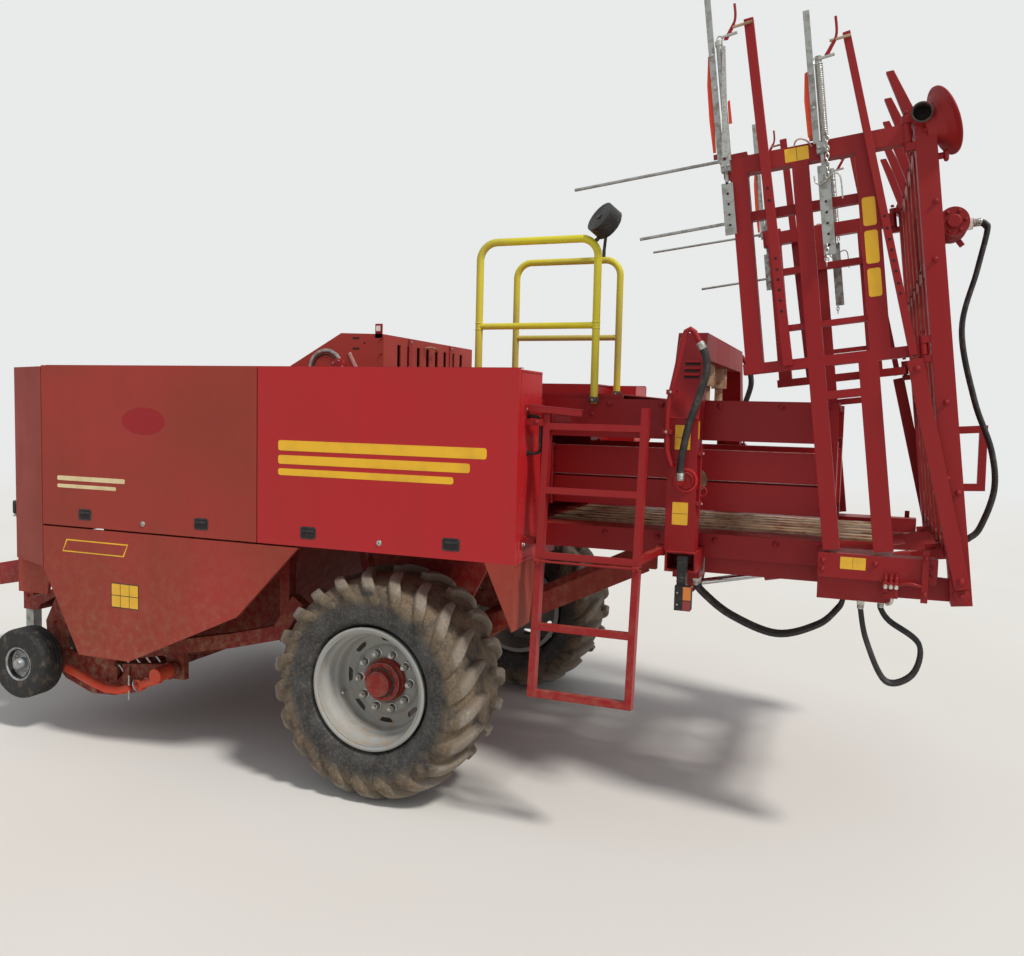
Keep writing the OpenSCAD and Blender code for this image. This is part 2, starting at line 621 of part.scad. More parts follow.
// Side cabinets, hollow, with a twine shelf and a post between the two doors
hinge_y = half_w - 40;
hinge_z = door_top_z - 6;
hinge_r = 6;
hinge_pin_r = 3;
knuckle_l = 50;
cabinet_t = 8;
cabinet_roof_z = door_top_z - 6;
shelf_z = 1640;
door_gap = 6;
door_spans = [[door_front_x, door_seam_x - door_gap / 2], [door_seam_x + door_gap / 2, door_rear_x]];
function knuckle_xs(x0, x1) = [x0 + 150, x1 - 150];
module cabinet(side) {
    color("firebrick") place() on_side(side) {
        difference() {
            span([door_front_x, -cabinet_edge_y, door_low_z], [door_rear_x, -cabinet_in_y, cabinet_roof_z]);
            for (s = door_spans, z = [[door_low_z + cabinet_t, shelf_z - cabinet_t / 2], [shelf_z + cabinet_t / 2, cabinet_roof_z - cabinet_t]])
                span([s[0] + cabinet_t, -cabinet_edge_y - over, z[0]], [s[1] - cabinet_t, -cabinet_in_y - cabinet_t, z[1]]);
            for (s = door_spans, x = knuckle_xs(s[0], s[1]))
                span([x - knuckle_l - 10, -half_w, hinge_z - 14], [x + knuckle_l + 10, -hinge_y + 12, door_top_z]);
            for (s = door_spans) span([s[0] + 30, -half_w, shelf_z - 10], [s[1] - 30, -cabinet_edge_y + 30, shelf_z + 10]);
        }
        for (s = door_spans, x = knuckle_xs(s[0], s[1])) {
            x_cyl(-hinge_y, hinge_z, hinge_r, x - knuckle_l, x - 1);
            span([x - knuckle_l, -hinge_y, hinge_z - 3], [x - 1, -hinge_y + 13, hinge_z + 2]);
            x_cyl(-hinge_y, hinge_z, hinge_pin_r, x - 2, x + knuckle_l);
        }
    }
}

handle_z = 1296;
handle_w = 80;
handle_h = 50;
door_skin = 4;
door_rim = 30;
module door(side, row, handles) {
    x0 = door_spans[row][0];
    x1 = door_spans[row][1];
    color(row == 0 ? "brown" : "crimson") place() on_side(side) difference() {
        union() {
            difference() {
                span([x0, -half_w, door_low_z], [x1, -half_w + door_t, door_top_z]);
                span([x0 + door_rim, -half_w + door_skin, door_low_z + door_rim], [x1 - door_rim, -half_w + door_t + over, door_top_z - door_rim]);
            }
            for (x = handles) span([x - handle_w / 2 - 8, -half_w + 1, handle_z - handle_h / 2 - 8],
                                   [x + handle_w / 2 + 8, -half_w + 22, handle_z + handle_h / 2 + 8]);
            for (x = knuckle_xs(x0, x1)) {
                x_cyl(-hinge_y, hinge_z, hinge_r, x + 1, x + knuckle_l);
                span([x + 1, -half_w + door_t - over, hinge_z - 4], [x + knuckle_l, -hinge_y, hinge_z + 3]);
            }
        }
        for (x = handles) span([x - handle_w / 2, -half_w - over, handle_z - handle_h / 2], [x + handle_w / 2, -half_w + 16, handle_z + handle_h / 2]);
        for (x = knuckle_xs(x0, x1)) x_cyl(-hinge_y, hinge_z, hinge_pin_r + pin_fit, x - over, x + knuckle_l + over);
    }
}

// Nose: chamfered corner panels, flat front face and top cover
nose_t = 20;
nose_low_z = 990;
nose_open_z = 1520;
nose_top_z = 2090;
module nose_panels() {
    flat_y = half_w - 150;
    outer = [[door_front_x - 5, -half_w], [nose_x, -flat_y], [nose_x, flat_y], [door_front_x - 5, half_w]];
    inner = [[door_front_x - 5, half_w - nose_t], [nose_x + nose_t, flat_y - 8], [nose_x + nose_t, -flat_y + 8], [door_front_x - 5, -half_w + nose_t]];
    color("brown") place() {
        difference() {
            translate([0, 0, nose_low_z]) linear_extrude(nose_top_z - nose_low_z) polygon(concat(outer, inner));
            span([nose_x - over, -650, nose_low_z - over], [nose_x + nose_t + over, 650, nose_open_z]);
        }
        translate([0, 0, nose_top_z - 10]) linear_extrude(10) polygon(concat(outer, [[door_front_x - 5, cabinet_in_y],
            [housing_front_x, cabinet_in_y], [housing_front_x, -cabinet_in_y], [door_front_x - 5, -cabinet_in_y]]));
        span([housing_front_x - 10, -rail_y, upper_rail_top_z], [housing_front_x, rail_y, nose_top_z - 9]);
        both() side_plate([[-2370, 800], [-2150, 800], [-2110, 1000], [-2370, 1000]], -flat_y - 30, -flat_y - 10);
        both() span([-2380, -flat_y - 15, 980], [-2130, -flat_y + 40, 1000]);
        both() span([-2110, -half_w + 35, 1400], [door_front_x, -flat_y, 1440]);
        both() span([-2130, -flat_y - 30, 940], [-2110, -cabinet_in_y + 40, 1440]);
    }
}

// Skirts below the cabinets, with the closing corner behind the wheel
skirt_t = 20;
skirt_points = [[door_front_x, 1217], [-385, 1217], [-747, 837], [-1444, 524], [-1792, 522], [door_front_x, 985]];
module skirt(side) {
    color("brown") place() on_side(side) {
        side_plate(skirt_points, -half_w, -half_w + skirt_t);
        side_plate([[599, 1227], [745, 1227], [738, 925]], -half_w, -half_w + 8);
        cross_plate([[-half_w, 1227], [-cabinet_in_y, 1227], [-1030, 925], [-half_w, 925]], 733, 741);
        span([outrigger_xs[3] + 30, -half_w, 1219], [745, -cabinet_in_y, 1227]);
    }
}

// Hood over the knotters, with slots in its rear face
hood_points = [[-886, top_cover_z], [-886, 2132], [-555, 2314], [-290, 2306], [-290, top_cover_z]];
hood_t = 8;
module top_hood() {
    color("firebrick") place() difference() {
        side_plate(hood_points, -rail_y + 2, rail_y - 2);
        side_plate([[-886 + hood_t, top_cover_z - over], [-886 + hood_t, 2127], [-553, 2314 - hood_t], [-290 - hood_t, 2306 - hood_t],
                    [-290 - hood_t, top_cover_z - over]], -rail_y + 2 + hood_t, rail_y - 2 - hood_t);
        for (i = [0 : 7]) span([-300, -440 + i * 120, 2090], [-280, -400 + i * 120, 2260]);
    }
}

// Deck on the chamber, and the guard rails around it
deck_x0 = 420;
deck_x1 = 1040;
deck_z = 2004;
module deck() {
    color("brown") place() {
        span([deck_x0, -rail_y + 10, deck_z - 6], [deck_x1, rail_y - 10, deck_z]);
        both() span([deck_x0, -rail_y + 10, top_cover_z], [deck_x1, -rail_y + 40, deck_z]);
        both() span([housing_rear_x + 10, -rail_y + 10, upper_rail_top_z], [deck_x1, -rail_y + 40, deck_z]);
    }
}

rail_near_x = 280;
rail_far_x = 205;
rail_hoop_l = 625;
rail_near_y = -rail_y - rail_tube_d / 2 - seat;
rail_far_y = 110;
guard_near_z = guard_top_z - 15;
guard_mid_z = 2338;
guard_corner_r = 90;
module guard_hoop(x0, y, top_z, front_z, rear_z) {
    r = rail_tube_d / 2;
    c = guard_corner_r;
    x1 = x0 + rail_hoop_l;
    rod([x0, y, front_z], [x0, y, top_z - r - c], r);
    rod([x1, y, rear_z], [x1, y, top_z - r - c], r);
    rod([x0 + c, y, top_z - r], [x1 - c, y, top_z - r], r);
    rod([x0, y, guard_mid_z], [x1, y, guard_mid_z], r * 0.85);
    translate([x0 + c, y, top_z - r - c]) rotate([90, 0, 0]) rotate([0, 0, 90])
        rotate_extrude(angle = 90) translate([c, 0]) circle(r = r);
    translate([x1 - c, y, top_z - r - c]) rotate([90, 0, 0])
        rotate_extrude(angle = 90) translate([c, 0]) circle(r = r);
}
module guard_rails() {
    color("gold") place() {
        guard_hoop(rail_near_x, rail_near_y, guard_near_z, 2090, upper_rail_top_z - 25);
        guard_hoop(rail_far_x, rail_far_y, guard_top_z, top_cover_z, deck_z);
    }
}

// Ladder: a fixed upper part and a lower part that folds up
ladder_lean = 6.3;
ladder_fold_y = -1175;
ladder_x = 822;
ladder_rail_w = 30;
ladder_depth = 50;
fold_y = -36;
module ladder_frame() { translate([0, ladder_fold_y, ladder_fold_z]) rotate([-ladder_lean, 0, 0]) children(); }
module ladder_rails(z0, z1) {
    for (x = [ladder_x, ladder_x + ladder_w - ladder_rail_w])
        span([x, -ladder_depth / 2, z0], [x + ladder_rail_w, ladder_depth / 2, z1]);
}
module rung(z) { span([ladder_x, -ladder_depth / 2, z], [ladder_x + ladder_w, ladder_depth / 2, z + 30]); }
module ladder_upper() {
    color("red") place() {
        ladder_frame() {
            ladder_rails(4, 690);
            for (z = [10, 300, 585]) rung(z);
            for (x = [ladder_x, ladder_x + ladder_w - 12]) {
                x_cyl(fold_y, 0, 10, x, x + 12);
                span([x, fold_y, 3], [x + 12, -ladder_depth / 2 + over, 12]);
            }
            x_cyl(fold_y, 0, 5, ladder_x + 1, ladder_x + ladder_w - 1);
        }
        for (z = [1330, 1860]) span([door_rear_x, -1160, z - 15], [ladder_x + over, -1130, z + 15]);
        bar([ladder_x + ladder_w - 15, -1165, 1277], [hoop_x0 - 20, -hoop_y + 30, 1277], 30, 30);
        span([hoop_x0 - 40, -hoop_y + 5, 1255], [hoop_x0, -hoop_y + 85, 1300]);
    }
}
module ladder_lower() {
    color("red") place() ladder_frame() difference() {
        union() {
            ladder_rails(-600, -4);
            for (z = [-305, -600]) rung(z);
            for (x = [ladder_x + 13, ladder_x + ladder_w - 25]) {
                x_cyl(fold_y, 0, 10, x, x + 12);
                span([x, fold_y - 10, -14], [x + 12, -ladder_depth / 2 + over, -3]);
            }
        }
        x_cyl(fold_y, 0, 5 + pin_fit, ladder_x, ladder_x + ladder_w);
    }
}

// Chamber walls that the density cylinders press on
flap_low_z = 1440;
flap_top_z = 1740;
flap_seam_z = 1585;
module chamber_sides() {
    color("crimson") place() both() {
        span([housing_rear_x, -wall_y, flap_low_z], [chamber_rear_x, -chamber_y - 2, flap_top_z]);
        span([housing_rear_x, -440, flap_low_z], [chamber_rear_x, -wall_y + 1, flap_seam_z - 5]);
        span([housing_rear_x, -440, flap_seam_z + 5], [chamber_rear_x, -wall_y + 1, flap_top_z]);
    }
}

module chamber_floor() {
    pitch = (chamber_w - 60) / (slat_count - 1);
    color("tan") place() for (i = [0 : slat_count - 1])
        span([housing_rear_x, -chamber_w / 2 + i * pitch, floor_z - slat_t], [chamber_rear_x + 200, -chamber_w / 2 + 60 + i * pitch, floor_z]);
}

module chamber_roof() {
    color("firebrick") place() {
        for (y = [-330, -120, 120, 330]) span([housing_rear_x, y - 45, roof_z], [chamber_rear_x, y + 45, roof_z + 22]);
        for (x = [700, 1390, 2000]) span([x - 40, -440, roof_z + 21], [x + 40, 440, upper_rail_top_z]);
    }
}

// Density hoop around the chamber, with the forks of the table cylinders
fork_gap = 16;
fork_t = 16;
hoop_x0 = 1320;
hoop_x1 = 1457;
hoop_y = 820;
hoop_in_y = 700;
hoop_low_z = 1130;
hoop_end_z = 1279;
pipe_y = 862;
pipe_r = 13;
pipe_points = [[1349, 1670], [1326, 1738], [1321, 1850], [1323, 1945], [1349, 2072], [1382, 2245], [1394, 2282], [1412, 2292],
               [1431, 2278], [1444, 2254], [1456, 2232]];
module density_hoop() {
    shoulder_z = upper_rail_top_z - 85;
    top_z = upper_rail_top_z + 314;
    outer = [[-hoop_y, hoop_end_z], [-hoop_y, shoulder_z], [-650, top_z], [650, top_z], [hoop_y, shoulder_z], [hoop_y, hoop_end_z]];
    inner = [[hoop_in_y, hoop_end_z - over], [hoop_in_y, shoulder_z - 25], [590, top_z - 124], [-590, top_z - 124],
             [-hoop_in_y, shoulder_z - 25], [-hoop_in_y, hoop_end_z - over]];
    color("crimson") place() {
        difference() {
            cross_plate(outer, hoop_x0, hoop_x1);
            cross_plate(inner, hoop_x0 - over, hoop_x1 + over);
        }
        span([hoop_x0 + 10, -hoop_in_y + 60, hoop_low_z], [hoop_x1, hoop_in_y - 60, lower_rail_z]);
        both() difference() {
            span([hoop_x0 + 5, -hoop_y - 2, lower_rail_z - 45], [hoop_x1 + 13, -rail_y - 4, hoop_end_z + over]);
            span([hoop_x0 + 15, -hoop_y - 3, lower_rail_z - 35], [hoop_x1 + 3, -650, hoop_end_z - 9]);
        }
        both() span([hoop_x0 + 20, -hoop_in_y - over, 1850], [hoop_x1 - 20, -rail_y, 1960]);
        both() {
            hose([for (p = pipe_points) [p[0], -pipe_y, p[1]]], pipe_r, 1, 12);
            y_cyl(pipe_points[0][0], pipe_points[0][1] + 11, 10, -pipe_y, -hoop_y + over);
            y_cyl(1409, 1610, 40, -hoop_y - 14, -hoop_y + over);
            span([1374, -pipe_y - 18, 1588], [1406, -hoop_y + over, 1612]);
        }
    }
}

// Forks under the hoop that hold the table cylinders
module cylinder_forks() {
    color("crimson") place() both() {
        for (y = [-cyl_y - fork_gap - fork_t, -cyl_y + fork_gap])
            side_plate([[1340, hoop_low_z], [1440, hoop_low_z], [1430, 1059], [1390, 1015], [1350, 1059]], y, y + fork_t);
        y_cyl(cyl_front[0], cyl_front[1], 18, -cyl_y - fork_gap - fork_t - 8, -cyl_y - fork_gap - fork_t + over);
    }
}

module density_cylinders() {
    color("dimgray") place() {
        both() {
            y_cyl(1388, 1590, 48, -hoop_in_y, -540);
            y_cyl(1388, 1590, 24, -541, -440);
            y_cyl(1388, 1590, 60, -450, -440);
        }
        for (y = [-220, 220]) {
            translate([1388, y, 2060]) cylinder(r = 42, h = 110);
            translate([1388, y, upper_rail_top_z]) cylinder(r = 22, h = 81);
        }
    }
}

lamp_x = 740;
lamp_z = 2985;
lamp_r = 80;
work_lamp = [935, -632, 2838];
tail_arm_y = hoop_y + 2;
module work_light(centre) { translate(centre) rotate([60, 0, -40]) translate([0, 0, -35]) cylinder(r = lamp_r, h = 70); }
module lamps() {
    corner = [rail_near_x + rail_hoop_l - guard_corner_r, rail_near_y, guard_near_z - rail_tube_d / 2 - guard_corner_r];
    slope = [sin(45), 0, cos(45)];
    reach = guard_corner_r + rail_tube_d / 2 + seat;
    color("orange") place() {
        both() span([1392, -tail_arm_y - 40, 1130], [1432, -tail_arm_y, 1262]);
        both() span([1387, -tail_arm_y - 56, 1018], [1459, -tail_arm_y - 12, 1131]);
        rod([lamp_x - 10, rail_far_y, guard_top_z + seat], [lamp_x - 10, rail_far_y, guard_top_z + 40], 10);
        rod([lamp_x - 10, rail_far_y, guard_top_z + 30], [lamp_x, rail_far_y, lamp_z - 50], 9);
        work_light([lamp_x, rail_far_y, lamp_z]);
        rod(corner + slope * reach, corner + slope * (reach + 24), 10);
        rod(corner + slope * (reach + 12), work_lamp, 8);
        work_light(work_lamp);
    }
}

// Accumulator base: cross box, side arms and hinge pins at the chamber's rear
base_x0 = 2000;
base_x1 = 2300;
base_tip_x = 2470;
hinge_pin_big = 20;
module accumulator_base() {
    color("firebrick") place() {
        y_tube(base_x0 + 240, hoop_low_z - 20, 80, 8, -460, 460);
        both() {
            difference() {
                span([base_x0, -wing_y0 - 20, hoop_low_z], [base_x1, -440, lower_rail_z]);
                span([base_x0 + 10, -wing_y0 - 10, hoop_low_z + 10], [base_x1 - 10, -450, lower_rail_z - 10]);
            }
            translate([0, 0, lower_rail_z - over]) linear_extrude(106)
                polygon([[base_x0, -wing_y1], [base_tip_x, -wing_y1], [base_tip_x, -base_arm_y1 + 10], [base_x1, -base_arm_y1 + 10],
                         [base_x1, -base_arm_y0 + 60], [base_x0, -base_arm_y0 + 60]]);
            span([base_tip_x - 60, -wing_y1 - 15, 1155], [base_tip_x - 34, -wing_y1 + over, 1372]);
            side_plate([[base_x1 - 100, 1150], [base_x1 - 100, 1260], [table_hinge_x, table_hinge_z + 45], [table_hinge_x + 40, table_hinge_z],
                        [table_hinge_x, table_hinge_z - 45]], -base_arm_y1, -base_arm_y0);
            y_cyl(table_hinge_x, table_hinge_z, hinge_pin_big, -table_w / 2 - 8, -base_arm_y0);
            span([1470, -560, hoop_low_z + 20], [base_x0 + over, -480, lower_rail_z]);
        }
    }
}

// Table cylinders: barrels pinned to the table's lugs, rods that reach to the forks under the hoop
cyl_y = 360;
cyl_front = [1390, 1059];
cyl_lug = [-70, 100];
cyl_rear = table_point(cyl_lug);
cyl_rise = atan2(cyl_rear[1] - cyl_front[1], cyl_rear[0] - cyl_front[0]);
cyl_l = norm(cyl_rear - cyl_front);
function table_point(p) = [table_hinge_x + p[0] * cos(table_tilt) - p[1] * sin(table_tilt),
                           table_hinge_z + p[0] * sin(table_tilt) + p[1] * cos(table_tilt)];
module cylinder_frame() { translate([cyl_front[0], 0, cyl_front[1]]) rotate([0, -cyl_rise, 0]) children(); }
module table_rods() {
    color("silver") place() cylinder_frame() both() {
        x_cyl(-cyl_y, 0, 16, 10, 620);
        y_cyl(0, 0, 28, -cyl_y - 11, -cyl_y + 11);
    }
}
module table_barrels() {
    color("crimson") place() cylinder_frame() both() difference() {
        union() {
            x_cyl(-cyl_y, 0, 32, 350, cyl_l - 90);
            for (y = [-cyl_y - 22, -cyl_y + 14]) span([cyl_l - 130, y, -25], [cyl_l + 25, y + 8, 25]);
            span([cyl_l - 130, -cyl_y - 22, -25], [cyl_l - 60, -cyl_y + 22, 25]);
        }
        x_cyl(-cyl_y, 0, 16 + pin_fit, 300, 880);
    }
}

// Folded table, hinged along Y; its own frame stands upright and leans forward by the tilt
module table_place() { place() translate([table_hinge_x, 0, table_hinge_z]) rotate([0, -table_tilt, 0]) children(); }
wing_hinge_x = -beam_s / 2 - 28;
wing_hinge_y = beam_y1 - 20;
wing_knuckle_r = 18;
wing_pin_r = 10;
wing_top = table_l - 60;
wing_mid = table_l / 2;
wing_arm_zs = [[wing_mid - 3, wing_mid + 42], [wing_top - 75, wing_top]];
lug_z_h = 30;
trumpet_points = [[30, 0], [56, 0], [64, 34], [86, 62], [118, 84], [140, 92], [140, 98], [114, 90], [81, 68], [58, 38], [50, 6], [30, 6]];
rear_frame = [[-20, 655], [285, 640], [250, 325], [-20, 345]];
module table_frame() {
    color("crimson") table_place() difference() {
        union() {
            both() span([-beam_s / 2, -beam_y1, -45], [beam_s / 2, -beam_y0, table_l]);
            for (z = [120, 0.382 * table_l, 0.673 * table_l, table_l - 130])
                span([-30, -beam_y0 - over, z], [30, beam_y0 + over, z + 60]);
            for (y = [-560, -280, 0, 280, 560]) span([-34, y - 30, 121], [-10, y + 30, table_l - 90]);
            both() for (z = wing_arm_zs, k = [z[0] - lug_z_h - 3, z[1] + 3]) {
                translate([wing_hinge_x, -wing_hinge_y, k]) cylinder(r = wing_knuckle_r, h = lug_z_h);
                span([wing_hinge_x, -wing_hinge_y - wing_knuckle_r, k], [-beam_s / 2 + over, -wing_hinge_y + wing_knuckle_r, k + lug_z_h]);
            }
            both() for (z = wing_arm_zs) translate([wing_hinge_x, -wing_hinge_y, z[0] - 10]) cylinder(r = wing_pin_r, h = z[1] - z[0] + 20);
            both() span([cyl_lug[0] - 25, -cyl_y - 8, cyl_lug[1] - 25], [0, -cyl_y + 8, 150]);
            both() y_cyl(cyl_lug[0], cyl_lug[1], 14, -cyl_y - 10, -cyl_y + 10);
            both() y_cyl(-10, table_l - 40, 42, -beam_y1 - 40, -beam_y0 + over);
            both() translate([-13, -beam_y1 + 30, table_l - 90]) rotate([0, 0, 15]) rotate([0, 74, 0])
                rotate_extrude() polygon(trumpet_points);
            for (y = [-700, -350, 0, 350, 700])
                side_plate([[-30, table_l - 100], [30, table_l - 100], [-90, table_l + 220], [-120, table_l + 220]], y - 15, y + 15);
            side_plate(strip(rear_frame, 40), 540, 570);
            for (y = [-300, -250]) x_cyl(y, 150, 18, 29, 54);
            both() bar([5, -beam_y1 - 25, 30], [-106, -beam_y1 - 25, wing_mid - 20], 24, 60);
            both() span([-15, -beam_y1 - 14, 200], [15, -beam_y1 + over, 240]);
        }
        both() y_cyl(0, 0, hinge_pin_big + pin_fit, -beam_y1 - over, -beam_y0 + over);
        both() y_cyl(-10, table_l - 40, 34, -beam_y1 - 41, -beam_y1 + 20);
    }
}

motor_z = table_l - 390;
module table_motor() {
    color("firebrick") table_place() {
        span([30, -420, motor_z - 250], [60, -180, motor_z + 120]);
        for (y = [-300, -250]) x_cyl(y, motor_z, 18, 180, 215);
        y_cyl(125, motor_z, 65, -400, -200);
        span([59, -340, motor_z - 40], [110, -260, motor_z + 40]);
        for (a = [0 : 60 : 300]) translate([125, 0, motor_z]) rotate([0, a, 0]) span([0, -195, -12], [95, -185, 12]);
        y_cyl(125, motor_z, 30, -201, -180);
    }
}

// Wing frame, hinged along the table's side beam
post_b_low = 210;
post_c_low = 190;
module wing(side) {
    color("crimson") table_place() on_side(side) difference() {
        union() {
            span([-778, -wing_y1, wing_mid + 5], [-703, -wing_y0, wing_top]);
            span([-521, -wing_y1, post_b_low], [-453, -wing_y0, wing_top]);
            span([-320, -wing_y1, post_c_low], [-240, -wing_y0, wing_mid + 25]);
            span([-270, -wing_y1, wing_mid + 5], [-190, -wing_y0, wing_top]);
            for (z = wing_arm_zs) {
                span([-790, -wing_y1, z[0]], [wing_hinge_x, -wing_y0, z[1]]);
                translate([wing_hinge_x, -wing_hinge_y, z[0]]) cylinder(r = wing_knuckle_r, h = z[1] - z[0]);
            }
            span([-805, -wing_y1 + 4, wing_top - 80], [-700, -wing_y0 - 4, wing_top + 18]);
            span([-720, -wing_y0 - 10, wing_top - 270], [-230, -wing_y0 + 30, wing_top - 230]);
            span([-605, -wing_y1 + 10, wing_mid + 165], [-250, -wing_y0 - 10, wing_mid + 190]);
            span([-500, -wing_y1, wing_mid - 145], [-260, -wing_y0, wing_mid - 110]);
            bar([-600, -wing_y1 - 14, wing_mid + 15], [-646, -wing_y1 - 14, table_l + 500], 30, 40);
            bar([-108, -wing_y1 - 14, wing_mid - 2], [-266, -wing_y1 - 14, table_l + 350], 30, 30);
        }
        for (z = wing_arm_zs) translate([wing_hinge_x, -wing_hinge_y, z[0] - over])
            cylinder(r = wing_pin_r + pin_fit, h = z[1] - z[0] + 2 * over);
    }
}

// Galvanised spring bars on a wing and the thin rods that point forward from it
spring_bars = [[-790, 1600, 2620], [-396, 1449, 2462]];
module wing_bars(side) {
    bar_y = -wing_y1 - 26;
    rod_y = -(wing_y0 + wing_y1) / 2;
    color("silver") table_place() on_side(side) {
        for (b = spring_bars) {
            x = b[0];
            span([x - 24, bar_y - 5, b[1]], [x + 24, bar_y + 5, wing_top - 110]);
            span([x - 7, bar_y - 4, wing_top - 111], [x + 7, bar_y + 4, wing_top - 59]);
            span([x - 20, -wing_y1 - 40, wing_top - 60], [x + 20, -wing_y1, wing_top - 15]);
            span([x - 32, bar_y - 4, wing_top - 16], [x - 6, bar_y + 4, b[2]]);
            translate([x + 14, bar_y, wing_top - 16]) cylinder(r = 13, h = b[2] - wing_top - 180);
        }
        span([-820, rod_y - 15, wing_top - 10], [-805, rod_y + 15, wing_top + 16]);
        rod([-1486, rod_y, wing_top + 4], [-819, rod_y, wing_top + 4], 7);
        span([-795, rod_y - 15, wing_top - 285], [-778, rod_y + 15, wing_top - 250]);
        rod([-1201, rod_y, wing_top - 272], [-794, rod_y, wing_top - 268], 7);
    }
}

// Hoses along hand-chosen points
hose_r = 11;
hose_fit = 0.1;
table_hose_points = [[215 + hose_fit, 1600], [229, 1600], [243, 1600], [264, 1585], [268, 1550], [215, 1380], [135, 1122], [165, 795],
                     [219, 560], [219, 375], [150, 205], [100, 156], [82, 150], [68, 150], [54 + hose_fit, 150]];
module table_hoses() {
    color("black") table_place() for (y = [-300, -250])
        hose([for (p = table_hose_points) [p[0], y, p[1] > 1000 ? p[1] - 1600 + motor_z : p[1]]], hose_r);
}
hose_loop_a = [[1440, 1130 - hose_fit], [1440, 1115], [1440, 1100], [1470, 1058], [1605, 962], [1819, 894], [2000, 955], [2085, 1040],
               [2105, 1085], [2105, 1107], [2105, 1130 - hose_fit]];
hose_loop_b = [[2180, 800, 1130 - hose_fit], [2180, 800, 1115], [2180, 800, 1100], [2210, 800, 960], [2295, 798, 790], [2400, 795, 830],
               [2420, 780, 960], [2300, 740, 1040], [2262, 730, 1092], [2262, 730, 1111], [2262, 730, 1130 - hose_fit]];
hoop_hose = [[1456.05, 2231.91], [1464.6, 2216.3], [1473.3, 2200.4], [1488, 2155], [1489, 2091], [1457, 1979], [1417, 1846],
             [1394, 1712], [1390, 1665], [1390, 1638], [1390, 1612 + hose_fit]];
module base_hoses() {
    color("black") place() {
        for (y = [-620, -586, -552]) hose([for (p = hose_loop_a) [p[0], y, p[1]]], hose_r);
        for (y = [0, -30]) hose([for (p = hose_loop_b) [p[0], y - p[1], p[2]]], hose_r);
        both() hose([for (p = hoop_hose) [p[0], -pipe_y, p[1]]], 17, 2, 12);
    }
}

main_frame();
bulkhead();
outriggers();
under_frame();
axle();
drawbar();
jack_leg();
plunger_housing();
gearbox();
flywheel();
feeder_housing();
needle_yoke();
pickup_frame();
pickup_reel();
gauge_arms();
gauge_wheel(-1);  // gauge_wheel_left
gauge_wheel(1);  // gauge_wheel_right
tyre(-1);  // tyre_left
rim(-1);  // rim_left
tyre(1);  // tyre_right
rim(1);  // rim_right
cabinet(-1);  // cabinet_left
cabinet(1);  // cabinet_right
door(-1, 0, [-1736, -965]);  // door_left_front
door(-1, 1, [-327, 434]);  // door_left_rear
door(1, 0, [-1736, -965]);  // door_right_front
door(1, 1, [-327, 434]);  // door_right_rear
nose_panels();
skirt(-1);  // skirt_left
skirt(1);  // skirt_right
top_hood();
deck();
guard_rails();
ladder_upper();
ladder_lower();
chamber_sides();
chamber_floor();
chamber_roof();
density_hoop();
density_cylinders();
cylinder_forks();
lamps();
accumulator_base();
table_rods();
table_barrels();
table_frame();
table_motor();
wing(-1);  // wing_left
wing(1);  // wing_right
wing_bars(-1);  // wing_bars_left
wing_bars(1);  // wing_bars_right
table_hoses();
base_hoses();
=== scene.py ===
import math

import bmesh
import bpy
from bpy.props import FloatProperty, FloatVectorProperty, IntProperty, PointerProperty
from mathutils import Matrix, Vector


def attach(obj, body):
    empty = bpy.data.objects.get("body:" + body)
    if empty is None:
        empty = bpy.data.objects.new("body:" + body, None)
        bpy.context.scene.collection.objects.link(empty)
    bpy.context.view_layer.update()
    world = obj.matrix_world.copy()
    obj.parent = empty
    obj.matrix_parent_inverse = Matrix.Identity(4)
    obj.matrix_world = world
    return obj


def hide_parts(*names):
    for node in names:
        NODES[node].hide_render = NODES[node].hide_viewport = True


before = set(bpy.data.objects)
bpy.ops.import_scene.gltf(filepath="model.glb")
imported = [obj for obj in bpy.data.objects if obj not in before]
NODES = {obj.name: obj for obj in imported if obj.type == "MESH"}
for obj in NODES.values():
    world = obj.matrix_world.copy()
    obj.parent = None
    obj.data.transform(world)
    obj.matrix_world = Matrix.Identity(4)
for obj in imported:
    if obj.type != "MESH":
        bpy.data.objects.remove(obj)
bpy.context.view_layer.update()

bl_info = {
    "name": "Square baler dressing",
    "version": (1, 0, 0),
    "blender": (4, 5, 0),
    "location": "View3D > Sidebar > Baler",
    "description": "Finishes and fine detail for a towed square baler",
    "category": "Object",
}

# The machine's own axes start under the axle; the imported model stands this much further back.
SHIFT = 0.64
# The accumulator leans back by this angle about its hinge.
TABLE_TILT = math.radians(7)
TABLE_HINGE = (2.56, 1.20)


def at(x, y, z):
    """A point in axle metres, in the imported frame."""
    return Vector((x + SHIFT, y, z))


# The machine's own axes, and those of the accumulator, which run along its beams from the hinge.
AXLE = Matrix.Translation((SHIFT, 0, 0))
TABLE = Matrix.Translation((TABLE_HINGE[0] + SHIFT, 0, TABLE_HINGE[1])) @ Matrix.Rotation(-TABLE_TILT, 4, "Y")

# Directions: the machine's left side is -Y, and its rear is +X.
LEFT, RIGHT = (0, -1, 0), (0, 1, 0)
FRONT, REAR = (-1, 0, 0), (1, 0, 0)
UP, DOWN = (0, 0, 1), (0, 0, -1)
SIDES = ((-1, "left"), (1, "right"))
MIRROR = Matrix.Scale(-1, 4, RIGHT)

# The middle of a road wheel, the height of the drive's shaft, and the outer faces of the doors, the
# accumulator's beams and the hoop.
WHEEL_Y = 1.005
WHEEL_Z = 0.56
SHAFT_Z = 1.12
DOOR_FACE = 1.25
BEAM_FACE = -0.8802
HOOP_FACE = -0.8202


def on_side(placing, side):
    """The placing itself for the left side, and its mirror image for the right."""
    return placing if side < 0 else MIRROR @ placing


